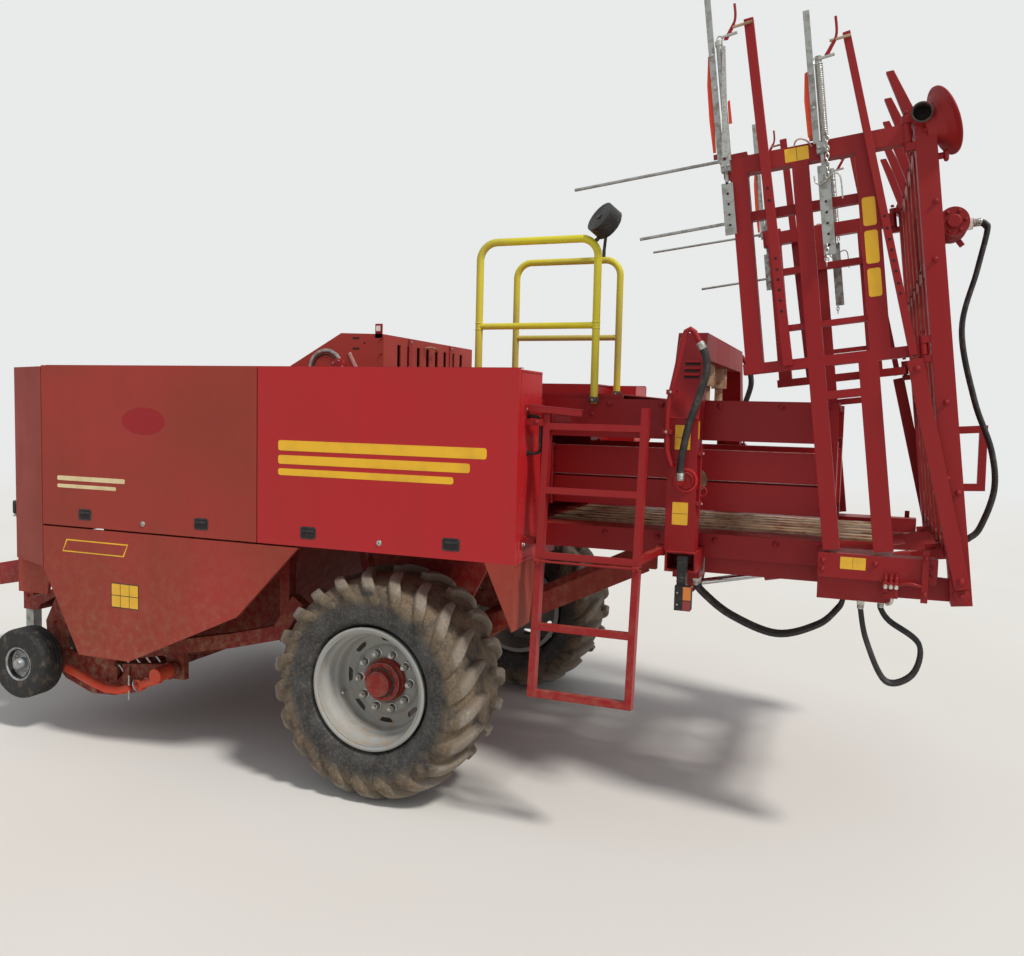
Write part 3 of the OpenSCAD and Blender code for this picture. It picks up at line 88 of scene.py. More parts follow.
def x_on_line(a, b, z):
    """The x of the straight line from a to b, both (x, z), at the height z."""
    return a[0] + (b[0] - a[0]) * (z - a[1]) / (b[1] - a[1])


def spoke(a):
    """The unit vector at the angle a about the Y axis."""
    return Vector((math.cos(a), 0, math.sin(a)))


def paint(code):
    """An sRGB hex code as linear colour."""
    values = [int(code[i:i + 2], 16) / 255 for i in (0, 2, 4)]
    return [v / 12.92 if v <= 0.04045 else ((v + 0.055) / 1.055) ** 2.4 for v in values]


def mm(size):
    """The noise scale that gives features of this many millimetres."""
    return 1000.0 / size


def colour(name, words, code):
    return FloatVectorProperty(name=name, description=words, subtype="COLOR", size=3, min=0, max=1,
                               default=paint(code))


def length(name, words, metres, low=0.0, high=2.0):
    return FloatProperty(name=name, description=words, default=metres, min=low, max=high, unit="LENGTH",
                         subtype="DISTANCE")


class BalerPaint(bpy.types.PropertyGroup):
    faded_red: colour("Faded red", "Sun-bleached enamel of the front panels", "A2332B")
    crimson: colour("Crimson", "Fresher enamel of the rear panels and frames", "B51E24")
    arm_orange: colour("Arm red", "Orange-red enamel of the gauge wheels' arms", "DB3F22")
    rail_yellow: colour("Rail yellow", "Enamel of the guard rails", "D8CC2E")
    rim_grey: colour("Rim grey", "Enamel of the road wheels' rims", "8F9496")
    sticker_yellow: colour("Sticker yellow", "Plain vinyl plates", "EBB52A")
    dust: colour("Dust", "Dry soil on low and flat faces", "A58B6C")
    mud: colour("Mud", "Dried mud in the tyres' tread", "82715C")


class BalerSizes(bpy.types.PropertyGroup):
    hose_d: length("Hose", "Outside diameter of a hydraulic hose", 0.022, 0.005, 0.05)
    thick_hose_d: length("Thick hose", "Outside diameter of the hoop's hose", 0.034, 0.005, 0.06)
    bolt_af: length("Bolt head", "Width across flats of the frame bolts", 0.024, 0.008, 0.05)
    chain_d: length("Chain wire", "Wire of the wings' hanging chains", 0.006, 0.002, 0.02)


class BalerTread(bpy.types.PropertyGroup):
    lugs: IntProperty(name="Lugs", description="Lugs on each side of a tyre", default=22, min=8, max=40)
    lug_height: length("Lug height", "Height of a lug over the carcass", 0.034, 0.01, 0.06)
    tyre_radius: length("Tyre radius", "Radius over the lugs", 0.56, 0.3, 1.0)
    tyre_width: length("Tyre width", "Width over the walls", 0.52, 0.2, 1.0)
    wall_step: length("Wall step", "How far the wall stays inside the width over the lugs", 0.012, 0.0, 0.03)
    bead_radius: length("Bead radius", "Where the tyre meets the rim", 0.285, 0.2, 0.5)


def add_node(tree, kind, values=None, links=None, **settings):
    """Adds one shader node, sets its properties and sockets, and links its inputs."""
    node = tree.nodes.new(kind)
    for key, value in settings.items():
        setattr(node, key, value)
    for key, value in (values or {}).items():
        node.inputs[key].default_value = value
    for key, source in (links or {}).items():
        tree.links.new(source, node.inputs[key])
    return node


def new_material(name):
    mat = bpy.data.materials.get(name)
    if mat:
        bpy.data.materials.remove(mat)
    mat = bpy.data.materials.new(name)
    mat.use_nodes = True
    mat.node_tree.nodes.clear()
    return mat, mat.node_tree


def rgba(c):
    return (c[0], c[1], c[2], 1.0)


def finish_with(tree, shader):
    add_node(tree, "ShaderNodeOutputMaterial", links={"Surface": shader.outputs[0]})


def ramp(tree, source, low, high):
    """0 below low and 1 above high, smooth between."""
    return add_node(tree, "ShaderNodeMapRange", {"From Min": low, "From Max": high}, {"Value": source},
                    interpolation_type="SMOOTHSTEP").outputs["Result"]


def noise(tree, where, size_mm, detail=4.0, rough=0.55, stretch=None):
    """Noise whose features are size_mm across, in the object's own metres."""
    if stretch:
        where = add_node(tree, "ShaderNodeMapping", {"Scale": stretch}, {"Vector": where}).outputs[0]
    return add_node(tree, "ShaderNodeTexNoise", {"Scale": mm(size_mm), "Detail": detail, "Roughness": rough},
                    {"Vector": where}).outputs["Fac"]


def mix(tree, share, a, b):
    """Mixes two colours by a socket's share of the second; each is a colour value or a socket."""
    node = add_node(tree, "ShaderNodeMix", data_type="RGBA")
    for socket, value in ((node.inputs[6], a), (node.inputs[7], b)):
        if isinstance(value, bpy.types.NodeSocket):
            tree.links.new(value, socket)
        else:
            socket.default_value = rgba(value)
    tree.links.new(share, node.inputs[0])
    return node.outputs[2]


def sum_of(tree, a, b, operation="ADD", clamp=False):
    node = add_node(tree, "ShaderNodeMath", operation=operation, use_clamp=clamp)
    for i, value in enumerate((a, b)):
        if isinstance(value, bpy.types.NodeSocket):
            tree.links.new(value, node.inputs[i])
        else:
            node.inputs[i].default_value = value
    return node.outputs[0]


def soft_edges(tree, radius, height, strength, distance):
    """The normal with rounded edges, and a bump on it."""
    edge = add_node(tree, "ShaderNodeBevel", {"Radius": radius}, samples=4).outputs[0]
    return add_node(tree, "ShaderNodeBump", {"Strength": strength, "Distance": distance},
                    {"Height": height, "Normal": edge}).outputs[0]


def enamel(name, main, faded, fade=0.5, dust=0.25, rust=0.1, rough=0.42, edge=0.003):
    """Machinery enamel, sprayed on sheet and section steel: an even colour that the sun has bleached in
    clouds, with rain streaks, dust on low and flat faces, a light orange peel, and a few chips down to
    brown primer."""
    p = bpy.context.scene.baler_paint
    mat, tree = new_material(name)
    where = add_node(tree, "ShaderNodeTexCoord").outputs["Object"]
    clouds = ramp(tree, noise(tree, where, 900, 3), 0.35, 0.68)
    streaks = ramp(tree, noise(tree, where, 60, 3, 0.6, (1.0, 1.0, 0.06)), 0.42, 0.78)
    bleach = sum_of(tree, sum_of(tree, clouds, fade, "MULTIPLY"), sum_of(tree, streaks, 0.22, "MULTIPLY"),
                    clamp=True)
    body = mix(tree, bleach, main, faded)
    # soil that rain splashed up, thicker near the ground, and settled dust on faces that look up
    split = add_node(tree, "ShaderNodeSeparateXYZ", links={"Vector": where})
    low = add_node(tree, "ShaderNodeMapRange", {"From Min": 1.3, "From Max": 0.2},
                   {"Value": split.outputs[2]})
    facing = add_node(tree, "ShaderNodeSeparateXYZ",
                      links={"Vector": add_node(tree, "ShaderNodeNewGeometry").outputs["Normal"]})
    flat = ramp(tree, facing.outputs[2], 0.6, 1.0)
    grit = ramp(tree, noise(tree, where, 45, 6, 0.7), 0.38, 0.75)
    soil = sum_of(tree, sum_of(tree, low.outputs[0], sum_of(tree, flat, 0.8, "MULTIPLY")), grit, "MULTIPLY")
    dusty = mix(tree, sum_of(tree, soil, dust, "MULTIPLY", True), body, p.dust)
    # chips and scratches, drawn a little larger than the real 2 to 5 mm so that they show
    chips = ramp(tree, noise(tree, where, 14, 5, 0.75), 0.735, 0.76)
    spots = ramp(tree, noise(tree, where, 240, 2), 0.52, 0.66)
    bare = sum_of(tree, sum_of(tree, chips, spots, "MULTIPLY"), rust, "MULTIPLY", True)
    final = mix(tree, bare, dusty, paint("5A2B1E"))
    uneven = sum_of(tree, sum_of(tree, bleach, 0.22, "MULTIPLY"), rough)
    matt = sum_of(tree, uneven, sum_of(tree, soil, 0.25, "MULTIPLY"), clamp=True)
    peel = sum_of(tree, noise(tree, where, 5, 2), sum_of(tree, noise(tree, where, 320, 2), 2.2, "MULTIPLY"))
    shader = add_node(tree, "ShaderNodeBsdfPrincipled", {"IOR": 1.5, "Specular IOR Level": 0.32},
                      {"Base Color": final, "Roughness": matt,
                       "Normal": soft_edges(tree, edge, peel, 0.12, 0.0025)})
    finish_with(tree, shader)
    return mat


def steel(name, main, stain, rough=0.35, metal=1.0, stained=0.5, size=40, edge=0.0015):
    """Bare or plated steel: grey metal with duller stained patches; used for zinc, chrome and worn plate."""
    mat, tree = new_material(name)
    where = add_node(tree, "ShaderNodeTexCoord").outputs["Object"]
    patches = ramp(tree, noise(tree, where, size, 5, 0.6), 0.45, 0.62)
    share = sum_of(tree, patches, stained, "MULTIPLY", True)
    shader = add_node(
        tree, "ShaderNodeBsdfPrincipled", {},
        {"Base Color": mix(tree, share, main, stain),
         "Metallic": sum_of(tree, metal, sum_of(tree, share, 0.7 * metal, "MULTIPLY"), "SUBTRACT", True),
         "Roughness": sum_of(tree, rough, sum_of(tree, share, 0.35, "MULTIPLY"), clamp=True),
         "Normal": soft_edges(tree, edge, noise(tree, where, 6, 3), 0.15, 0.001)})
    finish_with(tree, shader)
    return mat


def plain(name, main, worn, rough=0.6, size=60, dust=0.2, bump=0.2, grain=3, edge=0.001, **sockets):
    """A moulded or extruded material such as rubber, polypropylene or vinyl: even, slightly dusty, and with a
    fine grain."""
    p = bpy.context.scene.baler_paint
    mat, tree = new_material(name)
    where = add_node(tree, "ShaderNodeTexCoord").outputs["Object"]
    wear = ramp(tree, noise(tree, where, size, 4), 0.4, 0.7)
    tone = mix(tree, sum_of(tree, wear, 0.6, "MULTIPLY"), main, worn)
    spots = sum_of(tree, ramp(tree, noise(tree, where, size * 0.5, 6, 0.7), 0.5, 0.75), dust, "MULTIPLY")
    shader = add_node(tree, "ShaderNodeBsdfPrincipled", {"Roughness": rough},
                      {"Base Color": mix(tree, spots, tone, p.dust),
                       "Normal": soft_edges(tree, edge, noise(tree, where, grain, 2), bump, 0.0008)})
    for key, value in sockets.items():
        shader.inputs[key.replace("_", " ")].default_value = value
    finish_with(tree, shader)
    return mat


def muddy_tyre(name, wheel_r):
    """Vulcanised rubber, moulded: dark grey walls with a dusty bloom, worn pale lug tops, and dried mud that
    fills the grooves and clings to the shoulder, browner and rougher than the rubber."""
    p = bpy.context.scene.baler_paint
    mat, tree = new_material(name)
    where = add_node(tree, "ShaderNodeTexCoord").outputs["Object"]
    split = add_node(tree, "ShaderNodeSeparateXYZ", links={"Vector": where})
    flat = add_node(tree, "ShaderNodeCombineXYZ", links={"X": split.outputs[0], "Z": split.outputs[2]})
    radius = add_node(tree, "ShaderNodeVectorMath", operation="LENGTH",
                      links={0: flat.outputs[0]}).outputs["Value"]
    top = add_node(tree, "ShaderNodeAttribute", attribute_name="lug").outputs["Fac"]
    blotch = noise(tree, where, 90, 6, 0.68)
    fine = noise(tree, where, 14, 6, 0.7)
    tread = ramp(tree, radius, wheel_r * 0.70, wheel_r * 0.82)
    caked = sum_of(tree, tread, ramp(tree, blotch, 0.30, 0.56), "MULTIPLY")
    caked = sum_of(tree, caked, sum_of(tree, 1.0, sum_of(tree, top, 0.45, "MULTIPLY"), "SUBTRACT"),
                   "MULTIPLY")
    wall = mix(tree, ramp(tree, blotch, 0.35, 0.7), paint("232425"), paint("404141"))
    crown = mix(tree, ramp(tree, fine, 0.35, 0.65), paint("6F6B66"), paint("9C9284"))
    rubber = mix(tree, top, wall, crown)
    soil = mix(tree, ramp(tree, fine, 0.3, 0.7), p.mud, paint("5F5140"))
    film = sum_of(tree, ramp(tree, fine, 0.45, 0.75), 0.28, "MULTIPLY")
    base = mix(tree, caked, mix(tree, film, rubber, p.dust), soil)
    lumps = sum_of(tree, sum_of(tree, fine, caked, "MULTIPLY"), sum_of(tree, fine, 0.25, "MULTIPLY"))
    shader = add_node(tree, "ShaderNodeBsdfPrincipled", {"IOR": 1.5},
                      {"Base Color": base,
                       "Roughness": sum_of(tree, sum_of(tree, caked, 0.25, "MULTIPLY"), 0.68, clamp=True),
                       "Normal": soft_edges(tree, 0.004, lumps, 0.55, 0.006)})
    finish_with(tree, shader)
    return mat


def make_finishes():
    p = bpy.context.scene.baler_paint
    dark_yellow = [c * 0.82 for c in p.sticker_yellow]
    return {
        # sprayed enamels: satin reds and a yellow that the sun has turned paler and duller in clouds
        "faded": enamel("faded_red_enamel_sheet", p.faded_red, paint("8C3A2A"), 0.75, 0.45, 0.5, 0.5),
        "crimson": enamel("crimson_enamel_sheet", p.crimson, paint("A22A26"), 0.35, 0.28, 0.4, 0.38),
        "frame": enamel("crimson_enamel_section", paint("8E0E15"), paint("8E2622"),
                        0.35, 0.4, 0.9, 0.42, 0.004),
        "low": enamel("crimson_enamel_muddy", paint("82100F"), paint("74301F"), 0.6, 0.8, 1.0, 0.55, 0.004),
        "arm": enamel("orange_red_enamel_tube", p.arm_orange, paint("C65B3E"), 0.4, 0.4, 0.8, 0.42),
        "hub": enamel("red_enamel_hub", paint("A81A1C"), paint("6E2A22"), 0.5, 0.5, 1.0, 0.45),
        "rail": enamel("yellow_enamel_rail", p.rail_yellow, paint("B5A552"), 0.9, 0.1, 2.0, 0.45),
        "rim": enamel("grey_enamel_rim", p.rim_grey, paint("A9A79F"), 0.6, 0.55, 1.3, 0.45),
        # moulded and extruded black: even, deep and slightly grey with dust
        "black": plain("black_polypropylene_moulding", paint("141414"), paint("2B2B2A"), 0.5, 40, 0.15),
        "hose": plain("black_rubber_hose_extruded", paint("191919"), paint("303030"), 0.55, 80, 0.22),
        "small_tyre": plain("black_rubber_ribbed_tyre", paint("1C1C1C"), paint("2B2A29"),
                            0.7, 90, 0.3, 0.3, 5),
        # steels: bright plating and chrome mirror the surroundings, and worn or cast steel is brown and dull
        "zinc": steel("galvanised_steel_bar", paint("A3A5A2"), paint("7C7468"), 0.42, 0.9, 0.6, 30),
        "bright": steel("zinc_plated_fastener", paint("B9BAB6"), paint("7E6C52"), 0.35, 0.95, 0.5, 8, 0.0008),
        "chrome": steel("hard_chrome_rod", paint("C9CBCC"), paint("A9A6A0"), 0.12, 1.0, 0.2, 40, 0.001),
        "plate": steel("worn_rusty_steel_plate", paint("B49A7C"), paint("8A6244"), 0.5, 0.25, 0.8, 70),
        "dark": steel("oily_rusty_cast_steel", paint("3A302B"), paint("5A4030"), 0.5, 0.4, 0.7, 30),
        "tine": steel("spring_steel_tine", paint("6B6661"), paint("7A5236"), 0.4, 0.8, 0.6, 25, 0.001),
        # printed vinyl: flat, even colour with a soft sheen
        "sticker": plain("yellow_vinyl_plate", p.sticker_yellow, dark_yellow, 0.4, 60, 0.12, 0.05, 4),
        "stripe": plain("yellow_vinyl_stripe", paint("F0B81E"), paint("D79F1B"), 0.38, 200, 0.08, 0.05, 4),
        "pale": plain("cream_vinyl_stripe", paint("E4CFA0"), paint("C9A97A"), 0.45, 120, 0.12, 0.05, 4),
        "sign_black": plain("black_vinyl_print", paint("1A1813"), paint("2A261C"), 0.4, 60, 0.1, 0.05, 4),
        # lenses and lamp glass: a clear, wet-looking gloss over a deep colour
        "amber": plain("amber_lens_moulding", paint("D9791A"), paint("C26A18"), 0.15, 60, 0.1, 0.05, 4,
                       Coat_Weight=0.6, Coat_Roughness=0.05),
        "red_lens": plain("red_lens_moulding", paint("8E1712"), paint("7A1512"), 0.15, 60, 0.1, 0.05, 4,
                          Coat_Weight=0.6, Coat_Roughness=0.05),
        "glass": plain("lamp_glass_pressed", paint("4A5548"), paint("5E6A5C"), 0.08, 40, 0.12, 0.4, 8,
                       Coat_Weight=1.0, Coat_Roughness=0.03),
        "fitting": steel("zinc_plated_hose_union", paint("D6D4CC"), paint("A39A86"),
                         0.3, 0.7, 0.4, 12, 0.0008),
        "silver_rim": steel("silver_enamel_rim", paint("9EA0A1"), paint("6E675F"), 0.45, 0.3, 0.7, 30),
        "pale_edge": steel("worn_bright_edge", paint("C9A9A0"), paint("A8574E"), 0.4, 0.6, 0.5, 30, 0.0008),
        "reflector": plain("white_reflector_lens", paint("E9E4DC"), paint("D8CFC6"), 0.12, 30, 0.1, 0.05, 4,
                           Coat_Weight=0.8, Coat_Roughness=0.05),
        # painted shade inside holes, cups and slots, as a near-black; and enamel that stayed under cover and
        # so kept its red
        "painted_shade": plain("painted_shade_hollow", paint("160C0B"), paint("221312"), 0.8, 60, 0.1),
        "patch": enamel("fresh_red_patch_enamel", paint("99171D"), paint("99171D"), 0.1, 0.1, 0.0, 0.35),
        "tyre": muddy_tyre("muddy_rubber_tyre", bpy.context.scene.baler_tread.tyre_radius),
    }


FINISH = {}


BOX_FACES = ((3, 2, 1, 0), (4, 5, 6, 7), (0, 1, 5, 4), (1, 2, 6, 5), (2, 3, 7, 6), (3, 0, 4, 7))


class Shape:
    """Collects mesh parts, each with its finish, and makes one piece of them."""

    def __init__(self, placing=None):
        self.placing = placing or Matrix.Identity(4)
        self.verts = []
        self.faces = []
        self.slots = []
        self.smooth = []
        self.names = []

    def slot_of(self, finish):
        if finish not in self.names:
            self.names.append(finish)
        return self.names.index(finish)

    def add(self, verts, faces, finish, smooth=False):
        base = len(self.verts)
        self.verts += [self.placing @ Vector(v) for v in verts]
        index = self.slot_of(finish)
        for f in faces:
            self.faces.append([base + i for i in f])
            self.slots.append(index)
            self.smooth.append(smooth)
        return self

    def both_sides(self):
        """Adds the mirror image of what is there, on the machine's other side."""
        n = len(self.verts)
        self.verts += [Vector((v.x, -v.y, v.z)) for v in self.verts]
        self.faces += [[n + i for i in reversed(f)] for f in self.faces]
        self.slots += self.slots
        self.smooth += self.smooth
        return self

    def bar(self, a, b, side, up, finish):
        """A flat bar from a to b; side and up are half of its width and of its thickness."""
        a, b, side, up = Vector(a), Vector(b), Vector(side), Vector(up)
        ends = [p + side * i + up * j for p in (a, b) for i, j in ((-1, -1), (1, -1), (1, 1), (-1, 1))]
        return self.add(ends, BOX_FACES, finish)

    def box(self, lo, hi, finish):
        x0, y0, z0 = [min(a, b) for a, b in zip(lo, hi)]
        x1, y1, z1 = [max(a, b) for a, b in zip(lo, hi)]
        corners = [(x, y, z) for z in (z0, z1) for x, y in ((x0, y0), (x1, y0), (x1, y1), (x0, y1))]
        return self.add(corners, BOX_FACES, finish)

    def plate(self, outline, depth, finish):
        """A flat plate from a loop of 3D points, pushed out along depth."""
        n = len(outline)
        front = [Vector(p) + Vector(depth) for p in outline]
        back = [Vector(p) for p in outline]
        faces = [tuple(range(n)), tuple(range(2 * n - 1, n - 1, -1))]
        faces += [(i, i + n, (i + 1) % n + n, (i + 1) % n) for i in range(n)]
        return self.add(front + back, faces, finish)

    def sign(self, x0, x1, z0, z1, y, finish, r=0.003, n=3, lift=0.0008):
        """A thin blank plate with round corners, on a face that looks to the left."""
        return self.plate([(x, y, z) for x, z in rounded(x0, x1, z0, z1, r, n)], (0, -lift, 0), finish)

    def lathe(self, profile, centre, axis, finish, steps=48, smooth=True):
        """Turns (along, radius) pairs round an axis through centre."""
        axis = Vector(axis).normalized()
        u = axis.orthogonal().normalized()
        w = axis.cross(u)
        verts, faces, n = [], [], len(profile)
        for k in range(steps):
            a = 2 * math.pi * k / steps
            d = u * math.cos(a) + w * math.sin(a)
            verts += [Vector(centre) + axis * s + d * r for s, r in profile]
        for k in range(steps):
            m = (k + 1) % steps
            for i in range(n - 1):
                faces.append((k * n + i, m * n + i, m * n + i + 1, k * n + i + 1))
        return self.add(verts, faces, finish, smooth)

    def rod(self, a, b, r, finish, steps=16):
        """A round bar between two points, with closed and slightly chamfered ends."""
        a, b = Vector(a), Vector(b)
        long = (b - a).length
        c = min(0.12 * r, 0.002)
        profile = [(0, 0), (0, r - c), (c, r), (long - c, r), (long, r - c), (long, 0)]
        return self.lathe(profile, a, b - a, finish, steps)

    def tube(self, points, r, finish, sides=12, fine=6):
        """A round tube along a smooth curve through the points."""
        return self.sweep(curve_through(points, fine), r, finish, sides)

    def sweep(self, path, r, finish, sides):
        """A round tube along a fine path, with flat ends."""
        verts, faces = [], []
        n = len(path)
        up = None
        for i, p in enumerate(path):
            t = (path[min(i + 1, n - 1)] - path[max(i - 1, 0)]).normalized()
            up = t.orthogonal().normalized() if up is None else (up - t * up.dot(t)).normalized()
            w = t.cross(up)
            for k in range(sides):
                a = 2 * math.pi * k / sides
                verts.append(p + (up * math.cos(a) + w * math.sin(a)) * r)
        for i in range(n - 1):
            for k in range(sides):
                m = (k + 1) % sides
                faces.append((i * sides + k, i * sides + m, (i + 1) * sides + m, (i + 1) * sides + k))
        self.add(verts, faces, finish, True)
        self.add(verts[:sides], [tuple(range(sides - 1, -1, -1))], finish)
        return self.add(verts[-sides:], [tuple(range(sides))], finish)

    def ring(self, path, r, finish, sides=6):
        """A round wire bent into a closed flat loop."""
        n = len(path)
        path = [Vector(p) for p in path]
        flat = (path[1] - path[0]).cross(path[n // 2] - path[0]).normalized()
        verts, faces = [], []
        for i, p in enumerate(path):
            t = (path[(i + 1) % n] - path[i - 1]).normalized()
            w = t.cross(flat)
            turns = [2 * math.pi * k / sides for k in range(sides)]
            verts += [p + (flat * math.cos(a) + w * math.sin(a)) * r for a in turns]
        for i in range(n):
            for k in range(sides):
                m, j = (k + 1) % sides, (i + 1) % n
                faces.append((i * sides + k, i * sides + m, j * sides + m, j * sides + k))
        return self.add(verts, faces, finish, True)

    def spring(self, a, b, r, wire, turns, finish):
        """A coil spring from a to b."""
        a, b = Vector(a), Vector(b)
        axis = (b - a).normalized()
        u = axis.orthogonal().normalized()
        w = axis.cross(u)
        steps = turns * 10
        path = []
        for i in range(steps + 1):
            turn = 0.2 * math.pi * i
            path.append(a + (b - a) * (i / steps) + (u * math.cos(turn) + w * math.sin(turn)) * r)
        return self.sweep(path, wire / 2, finish, 6)

    def chain(self, points, size, finish):
        """Chain links along a line, each turned a quarter from the one before."""
        wire = bpy.context.scene.baler_sizes.chain_d
        path = curve_through(points, 10)
        room, done, flip = size - 2 * wire, 0.0, 0
        for i in range(len(path) - 1):
            done += (path[i + 1] - path[i]).length
            if done < room:
                continue
            done -= room
            t = (path[i + 1] - path[i]).normalized()
            u = t.cross(Vector(RIGHT)).normalized()
            u = u if flip % 2 else t.cross(u)
            flip += 1
            loop = []
            for k in range(12):
                c, q = math.cos(math.pi * k / 6), math.sin(math.pi * k / 6)
                squash = 1.0 if abs(c) > 0.5 else 0.9
                loop.append(path[i] + t * (size / 2 - wire / 2) * c * squash
                            + u * (size * 0.33 - wire / 2) * q)
            self.ring(loop, wire / 2, finish, 5)
        return self

    def bolt(self, where, out, finish="bright", af=None, washer=True):
        """A hexagon head with its washer, standing out along out."""
        af = af or bpy.context.scene.baler_sizes.bolt_af
        out = Vector(out).normalized()
        where = Vector(where)
        if washer:
            self.rod(where - out * 0.001, where + out * 0.003, af * 0.78, finish, 20)
        r = af / math.sqrt(3)
        self.lathe([(0, 0), (0, r), (af * 0.52, r), (af * 0.62, r * 0.86), (af * 0.62, 0)],
                   where + out * 0.002, out, finish, 6, False)
        return self.rod(where + out * af * 0.6, where + out * af * 0.85, af * 0.3, finish, 10)

    def make(self, name, body, bevel=0.0, origin=None, angle=35):
        """Makes the object and rides it on its body; edges over the angle, in degrees, stay sharp."""
        mesh = bpy.data.meshes.new(name)
        shift = Vector(origin) if origin is not None else Vector((0, 0, 0))
        mesh.from_pydata([v - shift for v in self.verts], [], self.faces)
        for finish in self.names:
            mesh.materials.append(FINISH[finish])
        mesh.polygons.foreach_set("material_index", self.slots)
        mesh.polygons.foreach_set("use_smooth", self.smooth)
        work = bmesh.new()
        work.from_mesh(mesh)
        bmesh.ops.remove_doubles(work, verts=work.verts, dist=1e-5)
        bmesh.ops.recalc_face_normals(work, faces=work.faces)
        for e in work.edges:
            if len(e.link_faces) == 2 and e.calc_face_angle(0) > math.radians(angle):
                e.smooth = False
        work.to_mesh(mesh)
        work.free()
        mesh.update()
        obj = bpy.data.objects.new(name, mesh)
        bpy.context.scene.collection.objects.link(obj)
        obj.location = shift
        if bevel:
            mod = obj.modifiers.new("edges", "BEVEL")
            mod.width = bevel
            mod.segments = 2
            mod.limit_method = "ANGLE"
            mod.angle_limit = math.radians(40)
        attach(obj, body)
        return obj


def curve_through(points, fine=6):
    """Catmull-Rom points through the given ones."""
    pts = [Vector(p) for p in points]
    out = []
    for i in range(len(pts) - 1):
        a, b = pts[max(i - 1, 0)], pts[i]
        c, d = pts[i + 1], pts[min(i + 2, len(pts) - 1)]
        for k in range(fine):
            t = k / fine
            out.append(0.5 * ((2 * b) + (c - a) * t + (2 * a - 5 * b + 4 * c - d) * t * t
                              + (3 * b - a - 3 * c + d) * t ** 3))
    return out + [pts[-1]]


def arc(cx, cy, r, a0, a1, n=8):
    return [(cx + r * math.cos(math.radians(a0 + (a1 - a0) * k / n)),
             cy + r * math.sin(math.radians(a0 + (a1 - a0) * k / n))) for k in range(n + 1)]


def rounded(x0, x1, z0, z1, r, n=5):
    """A rectangle's outline with round corners, as (x, z) pairs."""
    return (arc(x1 - r, z0 + r, r, -90, 0, n) + arc(x1 - r, z1 - r, r, 0, 90, n)
            + arc(x0 + r, z1 - r, r, 90, 180, n) + arc(x0 + r, z0 + r, r, 180, 270, n))


